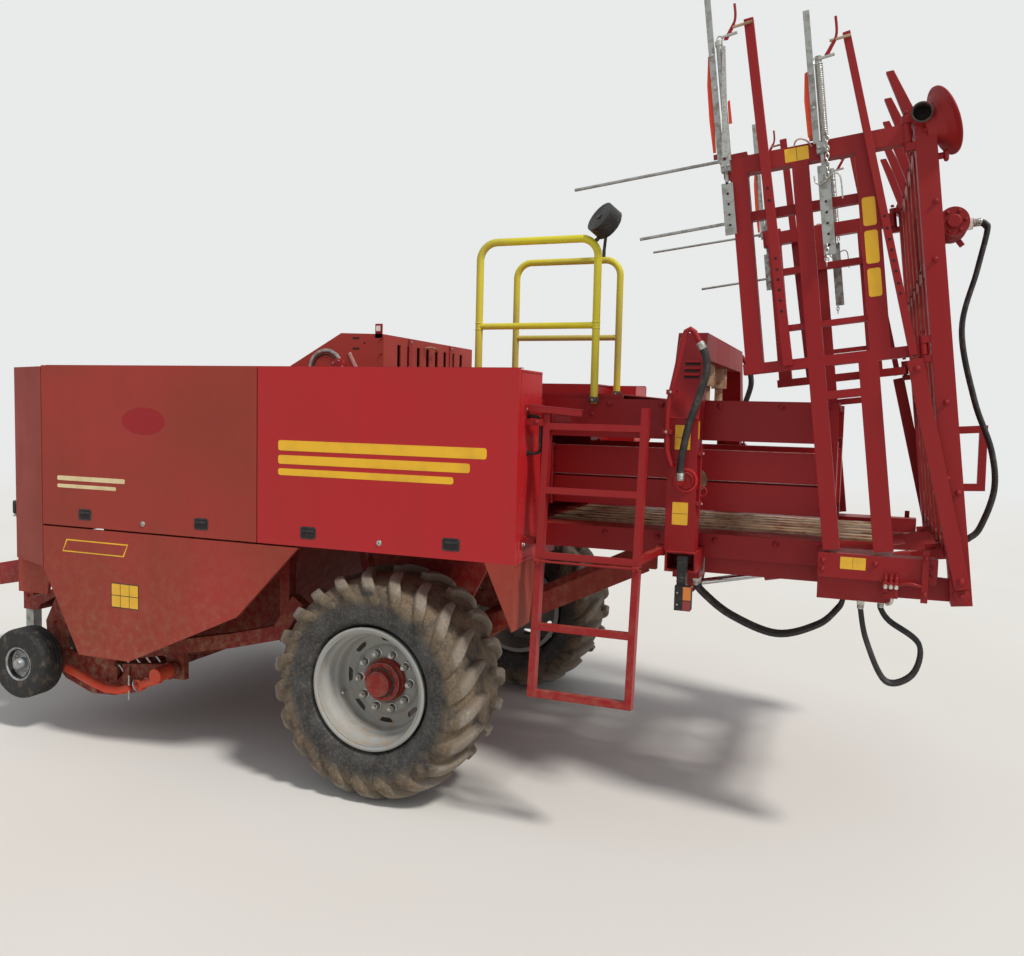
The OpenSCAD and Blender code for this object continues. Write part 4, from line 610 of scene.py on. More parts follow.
class BALER_OT_stage(bpy.types.Operator):
    """Sets the camera, the pale floor and the soft light"""
    bl_idname = "baler.stage"
    bl_label = "Stage and camera"

    def execute(self, context):
        scene = context.scene
        scene.view_settings.view_transform = "Standard"
        # the photo's angle, in radians
        yaw, pitch, roll = 0.3659, 0.0737, 0.0238
        ahead = Vector((-math.sin(yaw) * math.cos(pitch), math.cos(yaw) * math.cos(pitch), -math.sin(pitch)))
        right = Vector((math.cos(yaw), math.sin(yaw), 0))
        up = right.cross(ahead)
        r2 = right * math.cos(roll) + up * math.sin(roll)
        u2 = up * math.cos(roll) - right * math.sin(roll)
        data = bpy.data.cameras.new("view")
        data.sensor_width = 36
        data.lens = 31.98
        data.clip_end = 200
        camera = bpy.data.objects.new("view", data)
        scene.collection.objects.link(camera)
        turn = Matrix((r2, u2, -ahead)).transposed().to_4x4()
        camera.matrix_world = Matrix.Translation(at(2.1515, -4.9779, 1.9086)) @ turn
        scene.camera = camera

        pale = rgba(paint("E9EAEA"))
        mat, tree = new_material("pale_matt_floor")
        where = add_node(tree, "ShaderNodeTexCoord").outputs["Object"]
        away = add_node(tree, "ShaderNodeVectorMath", operation="LENGTH", links={0: where}).outputs["Value"]
        tone = mix(tree, ramp(tree, noise(tree, where, 2500, 2), 0.3, 0.7), paint("D5D2CC"), paint("D8D5D0"))
        shade = add_node(tree, "ShaderNodeBsdfPrincipled", {"Roughness": 0.9}, {"Base Color": tone})
        glow = add_node(tree, "ShaderNodeEmission", {"Color": pale, "Strength": 1.0})
        # far from the machine the floor melts into the plain background
        share = sum_of(tree, ramp(tree, away, 8.0, 26.0), self.seen(tree), "MULTIPLY")
        both = add_node(tree, "ShaderNodeMixShader",
                        links={0: share, 1: shade.outputs[0], 2: glow.outputs[0]})
        finish_with(tree, both)
        steps, rings = 64, (3.0, 8.0, 20.0, 80.0)
        turns = [2 * math.pi * k / steps for k in range(steps)]
        verts = [(0, 0, 0)] + [(r * math.cos(a), r * math.sin(a), 0) for r in rings for a in turns]
        faces = [(0, 1 + k, 1 + (k + 1) % steps) for k in range(steps)]
        for i in range(len(rings) - 1):
            lo, hi = 1 + i * steps, 1 + (i + 1) * steps
            faces += [(lo + k, hi + k, hi + (k + 1) % steps, lo + (k + 1) % steps) for k in range(steps)]
        mesh = bpy.data.meshes.new("floor")
        mesh.from_pydata(verts, [], faces)
        mesh.materials.append(mat)
        floor = bpy.data.objects.new("floor", mesh)
        scene.collection.objects.link(floor)

        sun = bpy.data.lights.new("key", "SUN")
        sun.energy = 2.6
        sun.angle = math.radians(9)
        sun.color = (1.0, 0.97, 0.92)
        key = bpy.data.objects.new("key", sun)
        key.rotation_mode = "QUATERNION"
        key.rotation_quaternion = Vector((0.86, -0.36, 1.25)).to_track_quat("Z", "Y")
        scene.collection.objects.link(key)

        world = bpy.data.worlds.new("studio")
        scene.world = world
        world.use_nodes = True
        tree = world.node_tree
        tree.nodes.clear()
        dim = add_node(tree, "ShaderNodeBackground", {"Color": rgba(paint("E6ECF2")), "Strength": 0.62})
        plain_back = add_node(tree, "ShaderNodeBackground", {"Color": pale, "Strength": 1.0})
        both = add_node(tree, "ShaderNodeMixShader",
                        links={0: self.seen(tree), 1: dim.outputs[0], 2: plain_back.outputs[0]})
        add_node(tree, "ShaderNodeOutputWorld", links={"Surface": both.outputs[0]})
        return {"FINISHED"}

    @staticmethod
    def seen(tree):
        """1 for rays that show the background: the camera's, and those off metal or through glass."""
        rays = add_node(tree, "ShaderNodeLightPath").outputs
        mirrored = sum_of(tree, rays["Is Glossy Ray"], rays["Is Transmission Ray"], "MAXIMUM")
        return sum_of(tree, rays["Is Camera Ray"], mirrored, "MAXIMUM")


# node, finish
NODE_FINISH = (
    ("main_frame", "frame"), ("bulkhead", "frame"), ("outriggers", "frame"), ("cylinder_forks", "frame"),
    ("under_frame", "low"), ("axle", "low"), ("drawbar", "frame"),
    ("jack_leg", "zinc"), ("plunger_housing", "frame"), ("gearbox", "low"), ("flywheel", "low"),
    ("feeder_housing", "low"), ("needle_yoke", "low"), ("pickup_frame", "low"), ("pickup_reel", "tine"),
    ("gauge_arms", "arm"), ("gauge_wheel_left", "small_tyre"), ("gauge_wheel_right", "small_tyre"),
    ("tyre_left", "tyre"), ("tyre_right", "tyre"), ("rim_left", "rim"), ("rim_right", "rim"),
    ("cabinet_left", "crimson"), ("cabinet_right", "crimson"), ("door_left_front", "faded"),
    ("door_right_front", "faded"), ("door_left_rear", "crimson"), ("door_right_rear", "crimson"),
    ("nose_panels", "faded"), ("skirt_left", "faded"), ("skirt_right", "faded"), ("top_hood", "faded"),
    ("deck", "frame"), ("guard_rails", "rail"), ("ladder_upper", "frame"), ("ladder_lower", "frame"),
    ("chamber_sides", "crimson"), ("chamber_floor", "plate"), ("chamber_roof", "frame"),
    ("density_hoop", "frame"), ("density_cylinders", "plate"), ("lamps", "black"),
    ("accumulator_base", "frame"), ("table_rods", "chrome"), ("table_barrels", "frame"),
    ("table_frame", "frame"), ("table_motor", "frame"), ("wing_left", "frame"), ("wing_right", "frame"),
    ("wing_bars_left", "zinc"), ("wing_bars_right", "zinc"), ("table_hoses", "hose"), ("base_hoses", "hose"),
)


class BALER_OT_finishes(bpy.types.Operator):
    """Makes the finishes and gives each packed sub-part its own"""
    bl_idname = "baler.finishes"
    bl_label = "Finishes"

    def execute(self, context):
        FINISH.update(make_finishes())
        for node, finish in NODE_FINISH:
            mesh = NODES[node].data
            mesh.materials.clear()
            mesh.materials.append(FINISH[finish])
        return {"FINISHED"}


class BALER_OT_tyres(bpy.types.Operator):
    """Builds the road tyres: ringed walls and curved lugs that run down the shoulders"""
    bl_idname = "baler.tyres"
    bl_label = "Road tyres"

    def execute(self, context):
        t = context.scene.baler_tread
        half, outer = t.tyre_width / 2 - t.wall_step, t.tyre_radius
        carcass = outer - t.lug_height
        mid, span = (carcass + t.bead_radius) / 2, (carcass - t.bead_radius) / 2

        def profile_point(a):
            s, c = math.sin(a), math.cos(a)
            across = half * math.copysign(abs(s) ** 0.6, s)
            return across, mid + span * math.copysign(abs(c) ** 0.6, c)

        profile = []
        for i in range(61):
            a = math.radians(-142 + 284 * i / 60)
            across, r = profile_point(a)
            # moulded rings: a rim protector line and a band at the top of the wall
            for ring, width, lift in ((0.325, 0.006, 0.004), (0.432, 0.003, 0.002), (0.452, 0.004, 0.003)):
                rise = lift * math.exp(-((r - ring) / width) ** 2)
                if abs(across) > half * 0.6:
                    across = math.copysign(min(abs(across) + rise, half), across)
            profile.append((across, r))

        def carcass_at(share):
            """The carcass surface at a share of the way from the crown down the outer wall."""
            a = math.radians(4 + 85 * share)
            return profile_point(a)

        for side, body in ((-1, "wheel_left"), (1, "wheel_right")):
            centre = at(0, side * WHEEL_Y, WHEEL_Z)
            shape = Shape()
            shape.lathe([(side * s, r) for s, r in profile], centre, RIGHT, "tyre", 132)
            pitch = 2 * math.pi / t.lugs
            for k in range(t.lugs):
                for half_sign, offset in ((1, 0.0), (-1, 0.5)):
                    self.lug(shape, centre, side, half_sign, (k + offset) * pitch, carcass_at, t)
            obj = shape.make("road_tyre_" + body[6:], body, origin=centre, angle=50)
            mark = obj.data.attributes.new("lug", "FLOAT", "POINT")
            near = [0.0] * len(obj.data.vertices)
            for i, v in enumerate(obj.data.vertices):
                r = math.hypot(v.co.x, v.co.z)
                crown = (r - (outer - 0.012 - 0.05 * (abs(v.co.y) / half) ** 4)) / 0.006
                near[i] = max(0.0, min(1.0, crown))
            mark.data.foreach_set("value", near)
            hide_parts("tyre_" + body[6:])
        return {"FINISHED"}

    @staticmethod
    def lug(shape, centre, side, half_sign, start, carcass_at, tread):
        """One curved bar from the crown over the shoulder to a rounded nose low on the wall."""
        steps, outer, reach = 12, tread.tyre_radius, tread.tyre_width / 2 - 0.0005
        # 36 mm high over the crown and 16 mm low on the wall; half of the bar's width is 17 to 31 mm
        ring = []
        for i in range(steps + 1):
            s = i / steps
            across, ground = carcass_at(s)
            # the outward direction turns from radial at the crown to sideways on the wall
            lean = math.radians(78) * s ** 2.2
            height = (0.036 - 0.020 * max(0.0, s - 0.55) / 0.45) * (1.0 if s < 0.97 else 0.35)
            width = 0.017 + 0.014 * math.sin(math.pi * min(1.0, s * 0.9))
            if i == steps:
                width *= 0.55
            if i == 0:
                width *= 0.85
            # the bar trails backwards as it goes outwards
            turn = -math.radians(15.5) * s ** 1.25
            ring.append((across, ground, lean, height, width, turn))
        verts = []
        for across, ground, lean, height, width, turn in ring:
            a = start + turn
            y = centre.y + side * half_sign * across
            out_r, out_y = math.cos(lean), math.sin(lean) * side * half_sign

            def point(radius, offset_y, along):
                ang = a + along / radius
                return Vector((centre.x + radius * math.cos(ang), y + offset_y,
                               centre.z + radius * math.sin(ang)))

            low = ground - 0.010 * out_r
            high = min(ground + height * out_r, outer - 0.0001)
            lift = math.copysign(min(abs(height * out_y), max(reach - abs(across), 0.0)), out_y)
            for along, r, dy in ((-width * 1.35, low, -0.006 * out_y),
                                 (-width, high - 0.004 * out_r, lift * 0.93), (-width * 0.8, high, lift),
                                 (width * 0.8, high, lift), (width, high - 0.004 * out_r, lift * 0.93),
                                 (width * 1.35, low, -0.006 * out_y)):
                verts.append(point(r, dy, along))
        n = 6
        faces = []
        for i in range(steps):
            for k in range(n - 1):
                faces.append((i * n + k, i * n + k + 1, (i + 1) * n + k + 1, (i + 1) * n + k))
        faces.append(tuple(range(n)))
        faces.append(tuple(steps * n + k for k in range(n - 1, -1, -1)))
        shape.add(verts, faces, "tyre", True)


class BALER_OT_wheel_fittings(bpy.types.Operator):
    """Adds the rims' stepped wells, wheel nuts, hub rings and valves"""
    bl_idname = "baler.wheel_fittings"
    bl_label = "Wheel fittings"

    def execute(self, context):
        for side, body in ((-1, "wheel_left"), (1, "wheel_right")):
            hub = at(0, side * WHEEL_Y, WHEEL_Z)
            out = Vector((0, side, 0))
            shape = Shape()
            # rolled flange, bead seat, two steps and the drop to the disc, as (outward, radius)
            well = [(0.226, 0.3015), (0.231, 0.298), (0.232, 0.291), (0.229, 0.284), (0.220, 0.2795),
                    (0.205, 0.2765), (0.180, 0.2735), (0.172, 0.270), (0.165, 0.262), (0.158, 0.258),
                    (0.120, 0.256), (0.111, 0.251), (0.104, 0.243), (0.098, 0.2405), (0.066, 0.2395),
                    (0.052, 0.2365), (0.040, 0.229), (0.0355, 0.218)]
            shape.lathe(well, hub, out, "rim", 96)
            shape.lathe([(0.037, 0.176), (0.041, 0.170), (0.047, 0.160), (0.049, 0.128), (0.046, 0.118),
                         (0.035, 0.112)], hub, out, "rim", 72)
            shape.lathe([(0.037, 0.108), (0.052, 0.106), (0.058, 0.100), (0.060, 0.097), (0.086, 0.0965),
                         (0.0925, 0.092), (0.0935, 0.084), (0.0935, 0.072)], hub, out, "hub", 48)
            shape.lathe([(0.0905, 0.078), (0.0965, 0.075), (0.0985, 0.068), (0.0985, 0.058)], hub,
                        out, "dark", 40)
            shape.lathe([(0.092, 0.0625), (0.128, 0.0625), (0.136, 0.058), (0.1385, 0.050), (0.1395, 0.030),
                         (0.1400, 0.0)], hub, out, "hub", 40)
            # a thin lining of the well's lowest steps
            shape.lathe([(0.112, 0.2505), (0.105, 0.2425), (0.099, 0.240), (0.068, 0.239)], hub, out,
                        "rim", 96)
            shape.make("rim_well_" + body[6:], body, angle=50)

            nuts = Shape()
            for k in range(10):
                a = 2 * math.pi * k / 10
                where = hub + out * 0.048 + spoke(a) * 0.14
                nuts.lathe([(0, 0.024), (0.004, 0.024), (0.006, 0.019)], where, out, "bright", 24)
                nuts.lathe([(0.004, 0.0), (0.004, 0.0185), (0.026, 0.0185), (0.030, 0.0155), (0.030, 0.0)],
                           where, out, "bright", 6, False)
                nuts.rod(where + out * 0.028, where + out * 0.044, 0.0105, "bright", 12)
            for k in range(8):
                a = 2 * math.pi * k / 8
                where = hub + out * 0.090 + spoke(a) * 0.078
                nuts.bolt(where, out, "hub", 0.014, False)
            a = math.radians(200)
            spot = hub + out * 0.06 + spoke(a) * 0.232
            nuts.rod(spot, spot + out * 0.05 - spoke(a) * 0.012, 0.006, "bright", 10)
            nuts.make("wheel_nuts_" + body[6:], body, angle=30)
        return {"FINISHED"}


def door_mark(shape, side, x0, x1, z0, z1, finish, r, lift=0.0008):
    """A thin plate on a side face, on either side of the machine."""
    outline = [at(x, side * DOOR_FACE, z) for x, z in rounded(x0, x1, z0, z1, r)]
    shape.plate(outline, (0, side * lift, 0), finish)


# side doors: handle x, handle z, body suffix
HANDLES = ((-1.736, 1.296, "front"), (-0.965, 1.296, "front"), (-0.327, 1.296, "rear"),
           (0.434, 1.296, "rear"))
LATCHES = ((-1.340, 1.272, "front"), (0.064, 1.276, "rear"))


class BALER_OT_door_fittings(bpy.types.Operator):
    """Adds the recessed handles, key latches and plain stripes of the side doors"""
    bl_idname = "baler.door_fittings"
    bl_label = "Door fittings"

    def execute(self, context):
        for side, name in SIDES:
            for row in ("front", "rear"):
                shape = Shape()
                out = Vector((0, side, 0))
                for x, z, where in HANDLES:
                    if where == row:
                        self.handle(shape, side, x, z)
                for x, z, where in LATCHES:
                    if where == row:
                        spot = at(x, side * (DOOR_FACE - 0.0005), z)
                        shape.rod(spot, spot + out * 0.004, 0.014, "bright", 24)
                        shape.rod(spot, spot + out * 0.007, 0.009, "bright", 20)
                        # painted shade: a thin black bar on the latch stands for its key slot
                        shape.box(spot + Vector((-0.0015, out.y * 0.006, -0.006)),
                                  spot + Vector((0.0015, out.y * 0.0078, 0.006)), "black")
                shape.make(f"door_fittings_{name}_{row}", f"door_{name}_{row}", 0.001)
                mark = Shape()
                if row == "rear":
                    # three plain stripes
                    for x0, x1, z0, z1 in ((-0.50, 0.60, 1.690, 1.740), (-0.50, 0.52, 1.625, 1.668),
                                           (-0.50, 0.44, 1.570, 1.603)):
                        door_mark(mark, side, x0, x1, z0, z1, "stripe", 0.012)
                else:
                    for x0, x1, z0, z1 in ((-1.93, -1.46, 1.475, 1.500), (-1.93, -1.52, 1.435, 1.455)):
                        door_mark(mark, side, x0, x1, z0, z1, "pale", 0.008)
                    oval = [(-1.335 + 0.14 * math.cos(2 * math.pi * k / 48),
                             1.81 + 0.07 * math.sin(2 * math.pi * k / 48)) for k in range(48)]
                    mark.plate([at(x, side * DOOR_FACE, z) for x, z in oval], (0, side * 0.0007, 0), "patch")
                mark.make(f"door_marks_{name}_{row}", f"door_{name}_{row}")
        return {"FINISHED"}

    @staticmethod
    def handle(shape, side, x, z):
        """A black bezel with a hollow cup, whose inside is a near-black sheet of painted shade, and a finger
        bar across its upper half.
        """
        y0, y1 = side * (DOOR_FACE - 0.0015), side * (DOOR_FACE + 0.0015)
        outer = rounded(x - 0.044, x + 0.044, z - 0.030, z + 0.030, 0.012)
        inner = rounded(x - 0.036, x + 0.036, z - 0.022, z + 0.022, 0.008)
        n = len(outer)
        verts = [at(a, y1, b) for a, b in outer] + [at(a, y1, b) for a, b in inner]
        verts += [at(a, side * (DOOR_FACE - 0.0065), b) for a, b in inner] + [at(a, y0, b) for a, b in outer]
        faces = []
        for i in range(n):
            j = (i + 1) % n
            faces.append((i, j, n + j, n + i))
            faces.append((n + i, n + j, 2 * n + j, 2 * n + i))
            faces.append((3 * n + i, 3 * n + j, j, i))
        shape.add(verts, faces, "black")
        # painted shade: a near-black sheet across the cup stands for its dark inside
        shape.add([at(a, side * (DOOR_FACE + 0.0005), b) for a, b in inner], [tuple(range(n))], "painted_shade")
        shape.box(at(x - 0.034, side * DOOR_FACE, z + 0.004),
                  at(x + 0.034, side * (DOOR_FACE + 0.0025), z + 0.016), "black")


class BALER_OT_skirt_fittings(bpy.types.Operator):
    """Adds the blank plate and the plain outlined bar of each skirt"""
    bl_idname = "baler.skirt_fittings"
    bl_label = "Skirt fittings"

    def execute(self, context):
        for side, name in SIDES:
            shape = Shape()
            # a blank plate of six cells
            x0, z0, w, h = -1.556, 0.812, 0.0605, 0.064
            door_mark(shape, side, x0 - 0.003, x0 + 3 * w + 0.003, z0 - 0.003, z0 + 2 * h + 0.003,
                      "sign_black", 0.003, 0.0006)
            for i in range(3):
                for j in range(2):
                    door_mark(shape, side, x0 + i * w + 0.002, x0 + (i + 1) * w - 0.002, z0 + j * h + 0.002,
                              z0 + (j + 1) * h - 0.002, "sticker", 0.002, 0.0012)
            # a plain outlined bar with slanted ends
            for inset, finish, lift in ((0.0, "stripe", 0.0008), (0.007, "faded", 0.0012)):
                a, b, c, d = -1.90 + inset, -1.44 - inset, 1.085 + inset, 1.155 - inset
                outline = [(a, c), (b - 0.03, c), (b, d), (a + 0.03, d)]
                shape.plate([at(x, side * DOOR_FACE, z) for x, z in outline], (0, side * lift, 0), finish)
            shape.make("skirt_marks_" + name, "machine")
        return {"FINISHED"}


# the routes of the hoses, in millimetres along the axle's axes
HOSE_LOOP_A = ((1440, 1129.9), (1440, 1115), (1440, 1100), (1470, 1058), (1605, 962),
               (1819, 894), (2000, 955), (2085, 1040), (2105, 1085), (2105, 1107), (2105, 1129.9))
HOSE_LOOP_B = ((2180, 800, 1129.9), (2180, 800, 1115), (2180, 800, 1100), (2210, 800, 960), (2295, 798, 790),
               (2400, 795, 830), (2420, 780, 960), (2300, 740, 1040), (2262, 730, 1092), (2262, 730, 1111),
               (2262, 730, 1129.9))
HOOP_HOSE = ((1456.05, 2231.91), (1464.6, 2216.3), (1473.3, 2200.4), (1488, 2155), (1489, 2091), (1457, 1979),
             (1417, 1846), (1394, 1712), (1390, 1665), (1390, 1638), (1390, 1612.1))
TABLE_HOSE = ((215.1, 1600), (229, 1600), (243, 1600), (264, 1585), (268, 1550), (215, 1380), (135, 1122),
              (165, 795), (219, 560), (219, 375), (150, 205), (100, 156), (82, 150), (68, 150), (54.1, 150))
HOOP_PIPE_Y = 862


class BALER_OT_hoses(bpy.types.Operator):
    """Builds the hydraulic hoses and their crimped ends"""
    bl_idname = "baler.hoses"
    bl_label = "Hydraulic hoses"

    def execute(self, context):
        sizes = context.scene.baler_sizes
        for i, y in enumerate((-620, -586, -552)):
            self.hose(f"chamber_hose_{i}", [(x, y, z) for x, z in HOSE_LOOP_A], AXLE, sizes.hose_d, "machine",
                      "base_hoses")
        for i, y in enumerate((0, -30)):
            self.hose(f"base_hose_{i}", [(x, y - p, z) for x, p, z in HOSE_LOOP_B], AXLE, sizes.hose_d,
                      "machine", "base_hoses")
        for side, name in SIDES:
            self.hose(f"hoop_hose_{name}", [(x, side * HOOP_PIPE_Y, z) for x, z in HOOP_HOSE], AXLE,
                      sizes.thick_hose_d, "machine", "base_hoses")
        for i, y in enumerate((-300, -250)):
            self.hose(f"motor_hose_{i}", [(x, y, z) for x, z in TABLE_HOSE], TABLE, sizes.hose_d, "table",
                      "table_hoses")
        return {"FINISHED"}

    @staticmethod
    def hose(name, points, placing, across, body, node):
        path = curve_through([placing @ (Vector(p) / 1000) for p in points], 8)
        shape = Shape()
        shape.sweep(path, across / 2, "hose", 16)
        obj = shape.make(name, body, angle=60)
        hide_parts(node)
        ends = Shape()
        for tip, inner in ((path[0], path[6]), (path[-1], path[-7])):
            way = (inner - tip).normalized()
            r = across / 2
            ends.lathe([(0.0, r * 0.6), (0.0, r + 0.0015), (0.030, r + 0.0025), (0.034, r + 0.001),
                        (0.034, r * 0.9)], tip, way, "bright", 20)
            for s in (0.006, 0.012, 0.018, 0.024):
                ends.lathe([(s, r + 0.0015), (s + 0.002, r + 0.0040), (s + 0.004, r + 0.0018)], tip, way,
                           "bright", 20)
        ends.make(name + "_ends", body, angle=50)


class BALER_OT_cabinet_fittings(bpy.types.Operator):
    """Adds the grab handles, holes and ladder brackets of the cabinets' rear faces, and the drip rails"""
    bl_idname = "baler.cabinet_fittings"
    bl_label = "Cabinet fittings"

    def execute(self, context):
        x = 0.745
        shape = Shape(AXLE)
        shape.tube([(x - 0.002, -1.12, 1.885), (0.775, -1.12, 1.885), (0.794, -1.12, 1.882),
                    (0.804, -1.12, 1.866), (0.805, -1.12, 1.84), (0.805, -1.12, 1.77), (0.804, -1.12, 1.739),
                    (0.794, -1.12, 1.724), (0.775, -1.12, 1.72), (x - 0.002, -1.12, 1.72)], 0.0075,
                   "black", 12, 5)
        for z in (1.885, 1.72):
            shape.rod((x - 0.001, -1.12, z), (x + 0.004, -1.12, z), 0.016, "black", 20)
        # painted shade: near-black discs stand for the holes, each in a crimson lip
        for y, z in ((-1.167, 1.981), (-0.95, 1.974), (-1.168, 1.558), (-1.002, 1.551), (-1.17, 1.502),
                     (-0.997, 1.496)):
            shape.rod((x - 0.001, y, z), (x + 0.0008, y, z), 0.005, "painted_shade", 14)
            shape.lathe([(0.0, 0.005), (0.0012, 0.0055), (0.0012, 0.009), (0.0, 0.0095)], (x, y, z), REAR,
                        "crimson", 20)
        # the folded edges at the roof and the foot of the rear face
        for a, b in (((x + 0.001, -1.215, 2.086), (x + 0.001, -0.945, 2.086)),
                     ((x + 0.001, -1.215, 1.236), (x + 0.001, -0.945, 1.236))):
            shape.bar(a, b, (0, 0, 0.005), (0.0015, 0, 0), "crimson")
        shape.both_sides()
        # the angle bar and the flanges that carry the ladder's top and foot
        a, b = Vector((x, -1.150, 1.925)), Vector((1.0, -1.1315, 1.905))
        shape.bar(a, b, (0, 0.002, 0), (0, 0, 0.015), "frame")
        shape.bar(a + Vector((0, 0.013, 0.013)), b + Vector((0, 0.010, 0.013)), (0, 0.013, 0),
                  (0, 0, 0.002), "frame")
        shape.box((x, -1.165, 1.895), (x + 0.004, -0.915, 1.940), "frame")
        for y, z in ((-1.142, 1.918), (-0.926, 1.917)):
            shape.bolt((x + 0.004, y, z), REAR, "bright", 0.014)
        shape.plate([(0.861, -1.104, 1.898), (0.936, -1.104, 1.893), (0.957, -1.104, 1.838),
                     (0.869, -1.104, 1.835)], (0, -0.005, 0), "frame")
        shape.box((x, -1.18, 1.285), (x + 0.005, -0.975, 1.336), "frame")
        for y, z in ((-1.168, 1.310), (-0.990, 1.310)):
            shape.bolt((x + 0.005, y, z), REAR, "bright", 0.014)
        # bolts where the ladder's rails meet the brackets
        for z in (1.33, 1.86):
            shape.bolt((0.800, -1.160, z), LEFT, "frame", 0.016)
        shape.make("cabinet_rear_fittings", "machine", 0.0006, angle=30)

        # the drip rail over the doors
        trim = Shape(AXLE)
        trim.bar((-2.04, -1.205, 2.0975), (0.745, -1.205, 2.0975), (0, 0.012, 0), (0, 0, 0.0018), "frame")
        trim.both_sides()
        trim.make("drip_rails", "machine", 0.0005)
        return {"FINISHED"}


class BALER_OT_rail_fittings(bpy.types.Operator):
    """Adds the guard rails' sockets and collars, the work lamps' glasses and the tail lamps' lenses"""
    bl_idname = "baler.rail_fittings"
    bl_label = "Guard rail fittings"

    def execute(self, context):
        shape = Shape(AXLE)
        for x, y, z in ((0.905, -0.6193, 1.958), (0.28, -0.6193, 2.088), (0.83, 0.11, 2.006),
                        (0.205, 0.11, 2.006)):
            shape.lathe([(0.0, 0.019), (0.0, 0.0255), (0.026, 0.0255), (0.029, 0.0235), (0.029, 0.019)],
                        (x, y, z), UP, "dark", 24)
            shape.bolt((x, y - 0.0255, z + 0.013), LEFT, "bright", 0.010, False)
        shape.bolt((0.893, -0.6005, 1.904), LEFT, "frame", 0.018)
        # welded collars at the middle rails
        for x in (0.28, 0.905):
            for z in (2.322, 2.354):
                shape.lathe([(-0.004, 0.0192), (0.0, 0.0215), (0.004, 0.0192)], (x, -0.6193, z), UP,
                            "rail", 20)
        shape.make("rail_fittings", "machine", angle=40)

        lamps = Shape(AXLE)
        behind = Vector((-0.5567, -0.6634, 0.5))
        for centre in (Vector((0.740, 0.110, 2.985)), Vector((0.935, -0.632, 2.838))):
            # rings and a stud on the lamp's back
            back = centre + behind * 0.035
            for r in (0.074, 0.056, 0.038):
                lamps.lathe([(0.0, r), (0.0018, r - 0.002), (0.0018, r - 0.010), (0.0, r - 0.012)], back,
                            behind, "black", 36)
            lamps.rod(back, back + behind * 0.006, 0.016, "black", 20)
            # the bezel and the glass
            glass = centre - behind * 0.035
            lamps.lathe([(-0.004, 0.0805), (0.002, 0.0805), (0.003, 0.077), (0.001, 0.073)], glass,
                        -behind, "black", 40)
            lamps.lathe([(0.0008, 0.074), (0.0035, 0.060), (0.0050, 0.030), (0.0055, 0.0)], glass,
                        -behind, "glass", 40)
        lamps.make("lamp_glasses", "machine", angle=40)

        tail = Shape(AXLE)
        for k in range(7):
            z = 1.146 + k * 0.017
            tail.box((1.3905, -0.8635, z), (1.4335, -0.8215, z + 0.008), "hose")
        tail.box((1.4255, -0.8795, 1.068), (1.4610, -0.8325, 1.1285), "amber")
        tail.box((1.4255, -0.8795, 1.0195), (1.4610, -0.8325, 1.0640), "red_lens")
        for k in range(5):
            tail.box((1.4608, -0.875 + k * 0.008, 1.022), (1.4620, -0.871 + k * 0.008, 1.126), "black")
        for z in (1.100, 1.045):
            tail.rod((1.4005, -0.8785, z), (1.4005, -0.8800, z), 0.004, "bright", 12)
        tail.both_sides()
        tail.make("tail_lamp_lenses", "machine", 0.0015, angle=40)
        return {"FINISHED"}


